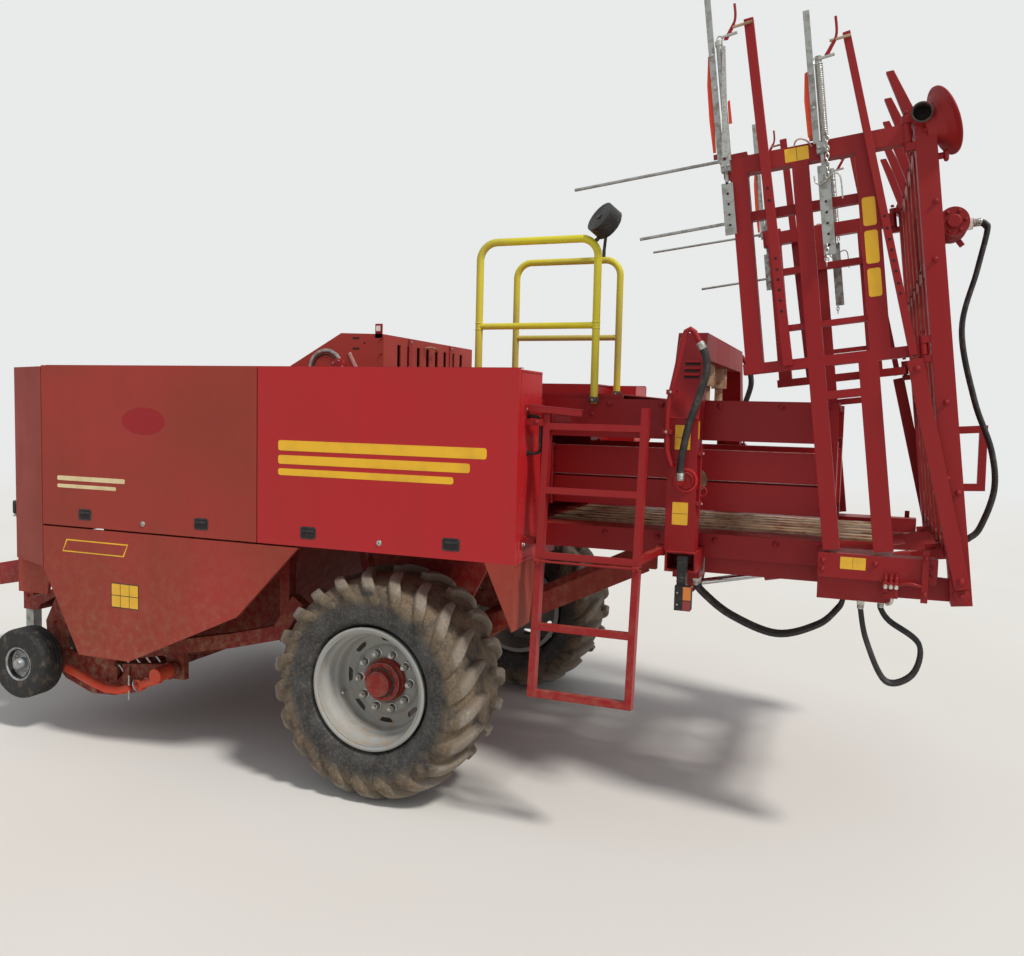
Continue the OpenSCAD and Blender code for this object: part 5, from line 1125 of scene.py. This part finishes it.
class BALER_OT_hoop_fittings(bpy.types.Operator):
    """Adds the hoop's louvres, boss, pipe clips and blank plates, and the chamber's bolts and worn edges"""
    bl_idname = "baler.hoop_fittings"
    bl_label = "Hoop and chamber fittings"

    def execute(self, context):
        shape = Shape(AXLE)
        up = Vector((0, 0.170, 0.399)).normalized()
        out = Vector((0, -0.399, 0.170)).normalized()
        # louvres: under each crimson slat a near-black bar of painted shade stands for the slot
        for z in (2.084, 2.114, 2.146):
            spot = Vector((0, -0.820 + (z - 1.895) * 0.170 / 0.399, z))
            a, b = spot + Vector((1.368, 0, 0)), spot + Vector((1.438, 0, 0))
            shape.bar(a + out * 0.0006, b + out * 0.0006, up * 0.0065, out * 0.0008, "painted_shade")
            shape.bar(a + out * 0.004 + up * 0.009, b + out * 0.004 + up * 0.009, up * 0.0035,
                      out * 0.004, "crimson")
        # a boss with its ring
        boss = (1.409, -0.8335, 1.610)
        shape.lathe([(0.0, 0.040), (0.004, 0.0385), (0.004, 0.030), (0.0015, 0.028), (0.0015, 0.0)], boss,
                    LEFT, "frame", 36)
        shape.lathe([(0.0, 0.041), (0.006, 0.043), (0.006, 0.054), (0.0, 0.056)], (1.409, -0.8200, 1.610),
                    LEFT, "crimson", 40)
        shape.bolt((1.349, -0.8745, 1.681), LEFT, "frame", 0.016, False)
        for x, z in ((1.3228, 1.83), (1.3365, 2.010)):
            shape.box((x - 0.020, -0.878, z - 0.011), (x + 0.020, -0.8195, z + 0.011), "frame")
            shape.bolt((x, -0.878, z), LEFT, "bright", 0.012, False)
        # a thin rod in two clamps down the rear edge, with a ring on it
        shape.rod((1.470, -0.795, 1.44), (1.470, -0.795, 1.78), 0.0055, "frame", 12)
        for z in (1.505, 1.735):
            shape.box((1.4565, -0.812, z - 0.009), (1.479, -0.778, z + 0.009), "frame")
            shape.bolt((1.479, -0.806, z), REAR, "bright", 0.009, False)
        shape.ring([(1.482 + 0.020 * math.cos(a), -0.795, 1.560 + 0.020 * math.sin(a))
                    for a in [math.pi * k / 8 for k in range(16)]], 0.004, "frame", 6)
        # a weld bead where the hoop's slanted shoulder meets its leg, and a seam near its foot
        shape.rod((1.322, -0.8205, 1.895), (1.455, -0.8205, 1.895), 0.003, "crimson", 8)
        shape.bar((1.330, -0.8215, 1.279), (1.465, -0.8215, 1.279), (0, 0.003, 0), (0, 0, 0.003), "crimson")
        shape.both_sides()
        shape.make("hoop_fittings", "machine", angle=35)

        plates = Shape(AXLE)
        for x0, z0, w, h in ((1.353, 1.750, 0.070, 0.112), (1.352, 1.404, 0.072, 0.104)):
            middle = z0 + h / 2
            plates.sign(x0, x0 + w, z0, z0 + h, HOOP_FACE, "sticker", 0.004)
            plates.sign(x0 + 0.003, x0 + w - 0.003, middle - 0.001, middle + 0.001, HOOP_FACE, "sign_black",
                        0.0005, 1, 0.0012)
        plates.plate([(1.4572, y, z) for y, z in rounded(-0.814, -0.784, 1.800, 1.880, 0.003, 2)],
                     (0.0008, 0, 0), "sticker")
        plates.both_sides()
        plates.make("hoop_plates", "machine")

        walls = Shape(AXLE)
        # bolts of the rails, and of the pressure plates between them
        for x in (0.62, 0.98, 1.24, 1.52, 1.80, 2.00):
            for z in (1.955, 1.315):
                walls.bolt((x, -0.6005, z), LEFT, "frame", 0.020)
        for x in (0.66, 1.28, 1.98):
            for z in (1.470, 1.558, 1.612, 1.712):
                walls.bolt((x, -0.4405, z), LEFT, "crimson", 0.014, False)
        # bright worn upper edges of the plates, and the hinge bar at their front end
        for z in (1.7405, 1.5905):
            walls.bar((0.602, -0.4395, z), (2.048, -0.4395, z), (0, 0.0028, 0), (0, 0, 0.0012), "pale_edge")
        walls.rod((0.640, -0.452, 1.43), (0.640, -0.452, 1.75), 0.011, "crimson", 12)
        walls.both_sides()
        walls.make("chamber_bolts", "machine", angle=30)
        return {"FINISHED"}


class BALER_OT_hood_fittings(bpy.types.Operator):
    """Adds the reflector, ring, straps and holes of the knotter hood"""
    bl_idname = "baler.hood_fittings"
    bl_label = "Hood fittings"

    def execute(self, context):
        shape = Shape(AXLE)
        y = -0.598
        # the reflector on its tab
        shape.box((-0.342, y, 2.285), (-0.298, y + 0.004, 2.362), "frame")
        shape.box((-0.3375, y - 0.006, 2.312), (-0.3025, y, 2.356), "frame")
        shape.box((-0.333, y - 0.0085, 2.322), (-0.307, y - 0.005, 2.350), "reflector")
        # a guard ring around the shaft end, with its cap and a light strap beside it
        for r, w, finish in ((0.102, 0.010, "zinc"), (0.082, 0.006, "dark")):
            shape.lathe([(0.0, r - w), (0.006, r - w + 0.002), (0.008, r), (0.006, r + w - 0.002),
                         (0.0, r + w)], (-0.652, y, 2.118), LEFT, finish, 48)
        shape.lathe([(0.0, 0.046), (0.014, 0.044), (0.018, 0.036), (0.018, 0.0)], (-0.565, y, 2.130),
                    LEFT, "frame", 24)
        for k in range(5):
            a = 2 * math.pi * k / 5
            shape.bolt((-0.565 + 0.033 * math.cos(a), y - 0.018, 2.130 + 0.033 * math.sin(a)), LEFT, "bright",
                       0.008, False)
        shape.bar((-0.500, y - 0.003, 2.206), (-0.445, y - 0.003, 2.105), (0.008, 0, 0.004),
                  (0, 0.003, 0), "pale_edge")
        # painted shade: near-black slots and a hole on the side face
        for x, z in ((-0.461, 2.286), (-0.460, 2.229)):
            shape.box((x - 0.020, y - 0.0012, z - 0.005), (x + 0.020, y + 0.001, z + 0.005), "painted_shade")
        shape.rod((-0.407, y, 2.259), (-0.407, y - 0.0012, 2.259), 0.006, "painted_shade", 12)
        # bolted seam down the rear corner
        for z in (2.12, 2.20, 2.28):
            shape.bolt((-0.303, y, z), LEFT, "frame", 0.011, False)
        # straps on the rear face over the slots, and a latch hook
        for yy in (-0.290, 0.260):
            shape.box((-0.2902, yy - 0.018, 2.085), (-0.2840, yy + 0.018, 2.300), "frame")
            shape.bolt((-0.284, yy, 2.285), REAR, "bright", 0.010, False)
        shape.tube([(-0.288, -0.110, 2.262), (-0.262, -0.110, 2.268), (-0.250, -0.085, 2.270),
                    (-0.250, -0.030, 2.264), (-0.262, -0.012, 2.250), (-0.280, -0.010, 2.236)], 0.005,
                   "plate", 8, 4)
        shape.make("hood_fittings", "machine", angle=35)
        return {"FINISHED"}


class BALER_OT_wing_fittings(bpy.types.Operator):
    """Adds the struts' holes and pins, the spring, hooks and chains, and the blank plates of the wings"""
    bl_idname = "baler.wing_fittings"
    bl_label = "Wing fittings"

    def execute(self, context):
        for side, name in SIDES:
            body = "wing_" + name
            shape = Shape(on_side(TABLE, side))
            self.struts(shape)
            self.spring_bars(shape)
            self.chains(shape)
            shape.make("wing_fittings_" + name, body, angle=40)
            marks = Shape(on_side(TABLE, side))
            marks.sign(-0.546, -0.449, 1.866, 1.922, BEAM_FACE, "sticker")
            marks.box((-0.4985, BEAM_FACE - 0.001, 1.868), (-0.4965, BEAM_FACE, 1.920), "sign_black")
            # plain bars down the post
            for z0, z1 in ((1.255, 1.372), (1.392, 1.528), (1.548, 1.665)):
                marks.sign(-0.258, -0.206, z0, z1, BEAM_FACE, "stripe", 0.010)
            marks.make("wing_marks_" + name, body)
        return {"FINISHED"}

    @staticmethod
    def struts(shape):
        face = -0.9088
        one, two = ((-0.600, 1.010), (-0.646, 2.490)), ((-0.108, 0.993), (-0.266, 2.340))
        # painted shade: near-black discs stand for the struts' holes, each in a red ring
        for (a, b), zs in ((one, (1.243, 1.289, 1.334, 1.378, 1.422, 1.469, 1.716, 1.768)),
                           (two, (1.251, 1.292, 1.343, 1.386, 1.430, 1.474, 1.521, 1.571))):
            for z in zs:
                x = x_on_line(a, b, z)
                shape.rod((x, face, z), (x, face - 0.0008, z), 0.0058, "painted_shade", 14)
                shape.lathe([(0.0, 0.0058), (0.0010, 0.0062), (0.0, 0.0095)], (x, face, z), LEFT, "frame", 16)
        # pins through the struts' tops, with their red hooks
        shape.rod((-0.716, -0.913, 2.466), (-0.630, -0.913, 2.471), 0.0060, "plate", 12)
        shape.rod((-0.333, -0.913, 2.316), (-0.250, -0.913, 2.320), 0.0060, "plate", 12)
        for x, z, top in ((-0.747, 2.425, 0.066), (-0.352, 2.262, 0.076)):
            shape.tube([(x, -0.914, z), (x + 0.020, -0.914, z + 0.026), (x + 0.042, -0.914, z + 0.058),
                        (x + 0.050, -0.914, z + 0.090), (x + 0.050, -0.914, z + 0.070 + top)], 0.0055,
                       "frame", 10, 4)
            shape.plate([(x - 0.008, -0.910, z - 0.004), (x + 0.010, -0.910, z - 0.006),
                         (x + 0.046, -0.910, z + 0.050), (x + 0.036, -0.910, z + 0.060)],
                        (0, -0.005, 0), "crimson")

    @staticmethod
    def spring_bars(shape):
        # the coil round the inner bar's core, and the outer bar's bright flat
        shape.spring((-0.382, -0.906, 1.918), (-0.382, -0.906, 2.236), 0.0150, 0.0048, 36, "bright")
        shape.plate([(-0.802, -0.9195, 1.928), (-0.773, -0.9195, 1.928), (-0.748, -0.9195, 2.392),
                     (-0.762, -0.9195, 2.396)], (0, -0.003, 0), "bright")
        shape.lathe([(-0.012, 0.0132), (-0.010, 0.0160), (0.010, 0.0160), (0.012, 0.0132)],
                    (-0.776, -0.906, 2.414), UP, "bright", 20)
        for x, z in ((-0.379, 2.252), (-0.757, 2.434)):
            shape.rod((x - 0.006, -0.915, z), (x + 0.062, -0.915, z + 0.006), 0.0062, "bright", 12)
            shape.ring([(x - 0.014 + 0.011 * math.cos(a), -0.915, z - 0.006 + 0.013 * math.sin(a))
                        for a in [math.pi * k / 7 for k in range(14)]], 0.0030, "bright", 6)
        for x, z in ((-0.396, 2.20), (-0.790, 2.37)):
            shape.bolt((x - 0.019, -0.910, z), LEFT, "bright", 0.010)
            shape.bolt((x - 0.019, -0.910, z - 0.14), LEFT, "bright", 0.010)
        # thin red blades beside the bars
        outer = ((-0.838, 1.96), (-0.826, 1.96), (-0.812, 2.362), (-0.826, 2.372), (-0.840, 2.25),
                 (-0.843, 2.10))
        inner = ((-0.440, 1.935), (-0.428, 1.935), (-0.420, 2.15), (-0.428, 2.215), (-0.440, 2.21),
                 (-0.450, 2.10), (-0.447, 1.95))
        short = ((-0.762, 2.07), (-0.748, 2.07), (-0.750, 2.17), (-0.760, 2.165))
        for line in (outer, inner, short):
            shape.plate([(x, -0.902, z) for x, z in line], (0, -0.003, 0), "arm")
        for x in (-0.834, -0.438):
            shape.box((x - 0.004, -0.905, 1.930), (x + 0.034, -0.899, 1.952), "frame")
        # clamp blocks' bolts, and the holes of the flats below, drawn as near-black discs of painted shade
        for x, low in ((-0.790, 1.64), (-0.396, 1.49)):
            for dx in (-0.012, 0.012):
                shape.bolt((x + dx, -0.920, 1.892), LEFT, "bright", 0.012, False)
            for k in range(5):
                z = low + k * 0.045
                shape.rod((x, -0.911, z), (x, -0.9118, z), 0.0055, "painted_shade", 12)

    @staticmethod
    def chains(shape):
        shape.chain([(-0.371, -0.928, 1.950), (-0.376, -0.927, 1.860), (-0.384, -0.922, 1.760)],
                    0.030, "bright")
        shape.chain([(-0.404, -0.9150, 1.500), (-0.409, -0.9155, 1.450), (-0.413, -0.9155, 1.395)],
                    0.030, "bright")
        shape.rod((-0.371, -0.9215, 1.952), (-0.371, -0.934, 1.952), 0.0035, "bright", 10)
        shape.tube([(-0.392, -0.924, 1.748), (-0.374, -0.924, 1.768), (-0.350, -0.924, 1.776),
                    (-0.334, -0.924, 1.762), (-0.330, -0.924, 1.720), (-0.330, -0.924, 1.668)], 0.0032,
                   "bright", 8, 4)
        shape.tube([(-0.434, -0.915, 1.780), (-0.430, -0.918, 1.752), (-0.412, -0.920, 1.742),
                    (-0.392, -0.922, 1.752)], 0.0032, "bright", 8, 4)
        # a pale wire loop over the upper arm
        shape.tube([(-0.506, -0.884, 1.924), (-0.498, -0.892, 1.944), (-0.478, -0.896, 1.950),
                    (-0.452, -0.894, 1.936), (-0.434, -0.884, 1.912)], 0.0036, "pale_edge", 8, 4)


class BALER_OT_table_fittings(bpy.types.Operator):
    """Adds the bolts, tube mouths, weld lines and motor fittings of the folded table"""
    bl_idname = "baler.table_fittings"
    bl_label = "Table fittings"

    def execute(self, context):
        shape = Shape(TABLE)
        # painted shade: a near-black disc deep in the tube's mouth stands for its dark inside
        mouth = (-0.010, -0.9305, 1.950)
        shape.lathe([(-0.056, 0.0), (-0.056, 0.0339)], mouth, LEFT, "painted_shade", 32)
        shape.lathe([(-0.055, 0.0338), (-0.001, 0.0338), (0.0012, 0.0355), (0.0012, 0.0405),
                     (-0.002, 0.0424)], mouth, LEFT, "dark", 32)
        shape.lathe([(0.0, 0.0), (0.0, 0.013), (0.020, 0.013), (0.024, 0.024), (0.034, 0.026), (0.040, 0.020),
                     (0.042, 0.0)], (0.0400, -0.850, 1.785), REAR, "frame", 24)
        # bolts on the beams' outer faces
        for x, z in ((0.018, 0.420), (-0.018, 0.480), (0.0, 0.79), (0.0, 1.369), (0.018, 1.60), (0.0, 1.888)):
            shape.bolt((x, -0.8905, z), LEFT, "frame", 0.016)
        # weld beads around the hinge knuckles and the cross rails' ends
        for z in (0.118, 0.182, 0.758, 0.822, 1.337, 1.401, 1.858, 1.922):
            shape.rod((0.029, -0.8095, z), (-0.029, -0.8095, z), 0.003, "frame", 8)
        for z in (0.985, 1.040, 1.852, 1.933):
            shape.lathe([(-0.002, 0.0182), (0.0, 0.0200), (0.002, 0.0182)], (-0.068, -0.870, z), UP,
                        "frame", 20)
        shape.bolt((-0.068, -0.870, 1.970), UP, "frame", 0.018, False)
        shape.bolt((-0.068, -0.870, 1.078), UP, "frame", 0.018, False)
        shape.bolt((0.0, -0.9265, 0.060), LEFT, "frame", 0.022)
        shape.bolt((-0.100, -0.9265, 0.935), LEFT, "frame", 0.020)
        shape.lathe([(0.0, 0.030), (0.010, 0.030), (0.013, 0.026), (0.013, 0.0)], (0.0, -0.8905, 0.0),
                    LEFT, "frame", 28)
        shape.both_sides()
        # the uprights' bolts at the cross rails, and a worn strip down each upright
        for y in (-0.560, -0.280, 0.0, 0.280, 0.560):
            for z in (0.150, 0.790, 1.369, 1.890):
                for dy in (-0.014, 0.014):
                    shape.bolt((-0.0342, y + dy, z), FRONT, "frame", 0.011, False)
            shape.bar((-0.0350, y, 0.19), (-0.0350, y, 1.84), (0, 0.008, 0), (0.0010, 0, 0), "plate")
        shape.make("table_fittings", "table", angle=35)

        motor = Shape(TABLE)
        centre = Vector((0.125, -0.199, 1.600))
        for k in range(6):
            a = math.pi * k / 3
            motor.bolt(centre + Vector((0.078 * math.cos(a), 0.0145, 0.078 * math.sin(a))), RIGHT,
                       "bright", 0.010)
            motor.bolt(centre + Vector((0.048 * math.cos(a), -0.2012, 0.048 * math.sin(a))), LEFT,
                       "frame", 0.012)
        motor.lathe([(0.0, 0.030), (0.012, 0.030), (0.015, 0.026), (0.015, 0.0)],
                    centre + Vector((0, -0.201, 0)), LEFT, "frame", 28)
        for k in range(5):
            motor.lathe([(-0.004, 0.0655), (-0.003, 0.0685), (0.003, 0.0685), (0.004, 0.0655)],
                        centre + Vector((0, -0.035 - 0.034 * k, 0)), LEFT, "frame", 40)
        for y in (-0.405, -0.195):
            for z in (1.375, 1.445, 1.695):
                motor.bolt((0.060, y, z), REAR, "bright", 0.014)
        for y in (-0.300, -0.250):
            for x, z in ((0.192, 1.600), (0.034, 0.150)):
                motor.lathe([(0.0, 0.0185), (0.0, 0.0215), (0.018, 0.0215), (0.021, 0.018)], (x, y, z), REAR,
                            "fitting", 6, False)
        motor.make("table_motor_fittings", "table", angle=35)
        return {"FINISHED"}


class BALER_OT_base_fittings(bpy.types.Operator):
    """Adds the valve block, the blank plate, the bolts and the hose unions of the accumulator's base"""
    bl_idname = "baler.base_fittings"
    bl_label = "Base fittings"

    def execute(self, context):
        shape = Shape(AXLE)
        shape.sign(2.090, 2.192, 1.270, 1.322, BEAM_FACE, "sticker", 0.003, 2)
        shape.box((2.1405, BEAM_FACE - 0.0012, 1.272), (2.1415, BEAM_FACE, 1.320), "sign_black")
        # the valve block with its spools, unions and red caps
        shape.box((2.262, -0.905, 1.165), (2.322, -0.8795, 1.232), "frame")
        for k in range(3):
            x = 2.272 + k * 0.021
            shape.lathe([(0.0, 0.0), (0.0, 0.0085), (0.020, 0.0085), (0.022, 0.0060), (0.034, 0.0060),
                         (0.036, 0.0)], (x, -0.893, 1.231), UP, "frame", 12)
            shape.bolt((x, -0.905, 1.180 + 0.014 * (k % 2)), LEFT, "frame", 0.012, False)
            shape.lathe([(0.0, 0.0), (0.0, 0.0095), (0.016, 0.0095), (0.020, 0.0070), (0.030, 0.0070),
                         (0.030, 0.0)], (x, -0.905, 1.215), LEFT, "fitting", 6, False)
        shape.tube([(2.300, -0.894, 1.166), (2.300, -0.896, 1.150), (2.292, -0.880, 1.138),
                    (2.284, -0.850, 1.131)], 0.008, "fitting", 10, 4)
        shape.tube([(2.320, -0.900, 1.222), (2.350, -0.910, 1.232), (2.382, -0.912, 1.232),
                    (2.408, -0.900, 1.224)], 0.0065, "frame", 10, 4)
        # bolts on the beam and on the stop bar
        for x, z in ((2.020, 1.300), (2.020, 1.262), (2.230, 1.300), (2.440, 1.300), (2.440, 1.262)):
            shape.bolt((x, BEAM_FACE, z), LEFT, "frame", 0.016)
        for z in (1.190, 1.340):
            shape.bolt((2.423, -0.8952, z), LEFT, "frame", 0.016)
        # hose unions under the box
        three = (-0.620, -0.586, -0.552)
        for x, ys in ((2.105, three), (1.440, three), (2.180, (-0.800, -0.830)), (2.262, (-0.730, -0.760))):
            for y in ys:
                shape.lathe([(-0.004, 0.0), (-0.004, 0.0165), (0.012, 0.0165), (0.014, 0.013)], (x, y, 1.128),
                            DOWN, "fitting", 6, False)
        # hinge pins' end plates
        shape.lathe([(0.0, 0.022), (0.006, 0.022), (0.008, 0.019), (0.008, 0.0)],
                    (TABLE_HINGE[0], -0.898, TABLE_HINGE[1]), LEFT, "frame", 24)
        shape.bolt((TABLE_HINGE[0], -0.9055, TABLE_HINGE[1]), LEFT, "frame", 0.018, False)
        shape.both_sides()
        shape.make("base_fittings", "machine", 0.0005, angle=35)
        return {"FINISHED"}


class BALER_OT_under_fittings(bpy.types.Operator):
    """Adds the gauge wheels' rims, the arms' clamps, and the pickup's bolts and bearings"""
    bl_idname = "baler.under_fittings"
    bl_label = "Wheels and pickup fittings"

    def execute(self, context):
        for side, name in SIDES:
            placing = on_side(AXLE, side)
            wheel = Shape(placing)
            hub = Vector((-2.280, -1.150, 0.400))
            out = Vector(LEFT)
            wheel.lathe([(0.060, 0.0935), (0.0685, 0.0975), (0.0710, 0.0955), (0.0700, 0.0900),
                         (0.0600, 0.0830), (0.0400, 0.0800), (0.0330, 0.0720), (0.0300, 0.0500),
                         (0.0340, 0.0440), (0.0340, 0.0300)], hub, out, "silver_rim", 64)
            wheel.lathe([(0.030, 0.034), (0.070, 0.032), (0.081, 0.025), (0.084, 0.0)], hub, out,
                        "silver_rim", 32)
            for k in range(5):
                a = 2 * math.pi * k / 5
                wheel.bolt(hub + out * 0.031 + spoke(a) * 0.060, out, "bright", 0.012)
            wheel.make("gauge_rim_" + name, "gauge_wheel_" + name, angle=45)

            arm = Shape(placing)
            y = -1.045
            # a clamp collar with its tommy bar, a bright ring and a lug on the arm's end
            a, b = Vector((-1.685, y, 0.281)), Vector((-1.610, y, 0.311))
            way = (b - a).normalized()
            arm.lathe([(-0.020, 0.0245), (-0.018, 0.034), (0.018, 0.034), (0.020, 0.0245)], b, way,
                      "frame", 28)
            arm.lathe([(0.036, 0.0245), (0.037, 0.040), (0.045, 0.040), (0.046, 0.0245)], b, way,
                      "bright", 28)
            arm.rod(b + Vector((0, -0.030, -0.070)), b + Vector((0, -0.030, 0.072)), 0.0055, "bright", 12)
            arm.rod(b + Vector((0, -0.020, 0)), b + Vector((0, -0.044, 0)), 0.014, "arm", 16)
            arm.bolt((-1.560, y - 0.0205, 0.327), LEFT, "arm", 0.022)
            arm.bolt((-1.766, y, 0.2985), UP, "frame", 0.014, False)
            arm.lathe([(0.0, 0.0245), (0.002, 0.0262), (0.004, 0.0245)], (-2.110, y, 0.360),
                      (-1, 0, 0.28), "dark", 20)
            arm.bolt((hub.x, -1.0025, hub.z), RIGHT, "bright", 0.020)
            arm.make("gauge_arm_fittings_" + name, "pickup", angle=35)

        pickup = Shape(AXLE)
        y, reel_x, reel_z = -0.9805, -2.080, 0.500
        # bolts of the pickup's side plates, and the reel's bearing
        for x, z in ((-1.84, 0.55), (-1.86, 0.80), (-2.02, 0.87), (-2.15, 0.86), (-2.26, 0.60), (-2.25, 0.42),
                     (-2.10, 0.28), (-1.86, 0.30)):
            pickup.bolt((x, y, z), LEFT, "frame", 0.016)
        pickup.lathe([(0.0, 0.070), (0.005, 0.068), (0.005, 0.050), (0.020, 0.046), (0.022, 0.020)],
                     (reel_x, y, reel_z), LEFT, "dark", 36)
        for k in range(4):
            a = math.radians(45 + 90 * k)
            pickup.bolt((reel_x + 0.059 * math.cos(a), y - 0.005, reel_z + 0.059 * math.sin(a)), LEFT,
                        "bright", 0.012)
        pickup.both_sides()
        pickup.make("pickup_fittings", "pickup", angle=35)
        return {"FINISHED"}


class BALER_OT_front_fittings(bpy.types.Operator):
    """Adds the jack's crank, the gearbox's ribs and bolts, the hitch's wear rings and the flywheel's bolts"""
    bl_idname = "baler.front_fittings"
    bl_label = "Front fittings"

    def execute(self, context):
        shape = Shape(AXLE)
        x, y = -3.330, -0.190
        shape.lathe([(0.0, 0.052), (0.012, 0.052), (0.016, 0.046), (0.016, 0.016)], (x, y, 1.048),
                    UP, "frame", 32)
        shape.rod((x, y, 1.060), (x, y, 1.100), 0.012, "bright", 16)
        shape.bar((x, y, 1.098), (x, y - 0.150, 1.098), (0.013, 0, 0), (0, 0, 0.004), "bright")
        shape.rod((x, y - 0.140, 1.102), (x, y - 0.140, 1.205), 0.010, "bright", 16)
        shape.lathe([(0.0, 0.0), (0.0, 0.013), (0.010, 0.0165), (0.080, 0.0165), (0.090, 0.012),
                     (0.092, 0.0)], (x, y - 0.140, 1.115), UP, "black", 24)
        for z in (0.52, 0.98):
            for sy in (-1, 1):
                shape.bolt((x, y + sy * 0.0452, z), (0, sy, 0), "frame", 0.020)
        # gearbox: cast ribs, cover bolts, filler plug and the bearing's bolts
        x0 = -2.300
        for k in range(6):
            xk = x0 + 0.030 + k * 0.054
            for sy in (-1, 1):
                shape.box((xk - 0.005, sy * 0.199, 0.94), (xk + 0.005, sy * 0.212, 1.32), "low")
            shape.box((xk - 0.005, -0.180, 1.349), (xk + 0.005, 0.180, 1.358), "low")
        for k in range(8):
            a = math.pi * (k + 0.5) / 4
            shape.bolt((x0 - 0.0005, 0.150 * math.cos(a), SHAFT_Z + 0.150 * math.sin(a)), FRONT,
                       "bright", 0.022)
            shape.bolt((x0 - 0.0405, 0.090 * math.cos(a), SHAFT_Z + 0.090 * math.sin(a)), FRONT,
                       "bright", 0.014)
        shape.lathe([(0.0, 0.0), (0.0, 0.022), (0.016, 0.022), (0.020, 0.016), (0.020, 0.0)],
                    (-2.12, 0.06, 1.357), UP, "black", 6, False)
        # bolts of the drawbar's plates
        for sy in (-1, 1):
            for xx, zz in ((-3.195, 0.700), (-3.105, 0.700), (-3.195, 0.780), (-3.105, 0.780)):
                shape.bolt((xx, sy * 0.2855, zz), (0, sy, 0), "bright", 0.026)
            for zz in (0.990, 1.080, 1.170):
                shape.bolt((-1.9905, sy * 0.575, zz), FRONT, "bright", 0.026)
        # wear rings on both faces of the hitch's eye
        for face, way in ((0.5855, 1), (0.5345, -1)):
            shape.lathe([(0.0, 0.036), (0.003, 0.036), (0.004, 0.040), (0.003, 0.056), (0.0, 0.057)],
                        (-4.000, 0, face), (0, 0, way), "plate", 40)
        for k in range(4):
            a = math.pi * (k + 0.5) / 2
            shape.bolt((-3.3405, 0.058 * math.cos(a), SHAFT_Z + 0.058 * math.sin(a)), FRONT, "bright", 0.014)
        shape.make("front_fittings", "machine", angle=35)

        wheel = Shape(AXLE)
        for k in range(8):
            a = 2 * math.pi * k / 8
            c, q = math.cos(a), math.sin(a)
            wheel.bolt((-2.5605, 0.074 * c, SHAFT_Z + 0.074 * q), FRONT, "bright", 0.016)
            wheel.bolt((-2.7205, 0.064 * c, SHAFT_Z + 0.064 * q), FRONT, "bright", 0.014)
        for k in range(5):
            wheel.lathe([(0.0, 0.0852), (0.002, 0.0890), (0.010, 0.0890), (0.012, 0.0852)],
                        (-2.690 + k * 0.026, 0, SHAFT_Z), REAR, "frame", 40)
        wheel.make("flywheel_fittings", "flywheel", angle=35)
        return {"FINISHED"}


OPERATORS = (
    BALER_OT_stage, BALER_OT_finishes, BALER_OT_tyres, BALER_OT_wheel_fittings, BALER_OT_door_fittings,
    BALER_OT_skirt_fittings, BALER_OT_hoses, BALER_OT_cabinet_fittings, BALER_OT_rail_fittings,
    BALER_OT_hoop_fittings, BALER_OT_hood_fittings, BALER_OT_wing_fittings, BALER_OT_table_fittings,
    BALER_OT_base_fittings, BALER_OT_under_fittings, BALER_OT_front_fittings,
)


class BALER_PT_panel(bpy.types.Panel):
    """Lists the baler's finishes, sizes and pieces"""
    bl_idname = "BALER_PT_panel"
    bl_label = "Square baler"
    bl_space_type = "VIEW_3D"
    bl_region_type = "UI"
    bl_category = "Baler"

    def draw(self, context):
        scene = context.scene
        for group in (scene.baler_paint, scene.baler_sizes, scene.baler_tread):
            box = self.layout.box()
            for key in group.bl_rna.properties.keys():
                if key not in ("rna_type", "name"):
                    box.prop(group, key)
        for kind in OPERATORS:
            self.layout.operator(kind.bl_idname)


CLASSES = (BalerPaint, BalerSizes, BalerTread) + OPERATORS + (BALER_PT_panel,)


def register():
    for kind in CLASSES:
        bpy.utils.register_class(kind)
    bpy.types.Scene.baler_paint = PointerProperty(type=BalerPaint)
    bpy.types.Scene.baler_sizes = PointerProperty(type=BalerSizes)
    bpy.types.Scene.baler_tread = PointerProperty(type=BalerTread)


def unregister():
    del bpy.types.Scene.baler_tread
    del bpy.types.Scene.baler_sizes
    del bpy.types.Scene.baler_paint
    for kind in reversed(CLASSES):
        bpy.utils.unregister_class(kind)


def main():
    register()
    bpy.ops.baler.stage()
    bpy.ops.baler.finishes()
    bpy.ops.baler.tyres()
    bpy.ops.baler.wheel_fittings()
    bpy.ops.baler.door_fittings()
    bpy.ops.baler.skirt_fittings()
    bpy.ops.baler.hoses()
    bpy.ops.baler.cabinet_fittings()
    bpy.ops.baler.rail_fittings()
    bpy.ops.baler.hoop_fittings()
    bpy.ops.baler.hood_fittings()
    bpy.ops.baler.wing_fittings()
    bpy.ops.baler.table_fittings()
    bpy.ops.baler.base_fittings()
    bpy.ops.baler.under_fittings()
    bpy.ops.baler.front_fittings()
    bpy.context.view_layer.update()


if __name__ == "__main__":
    main()
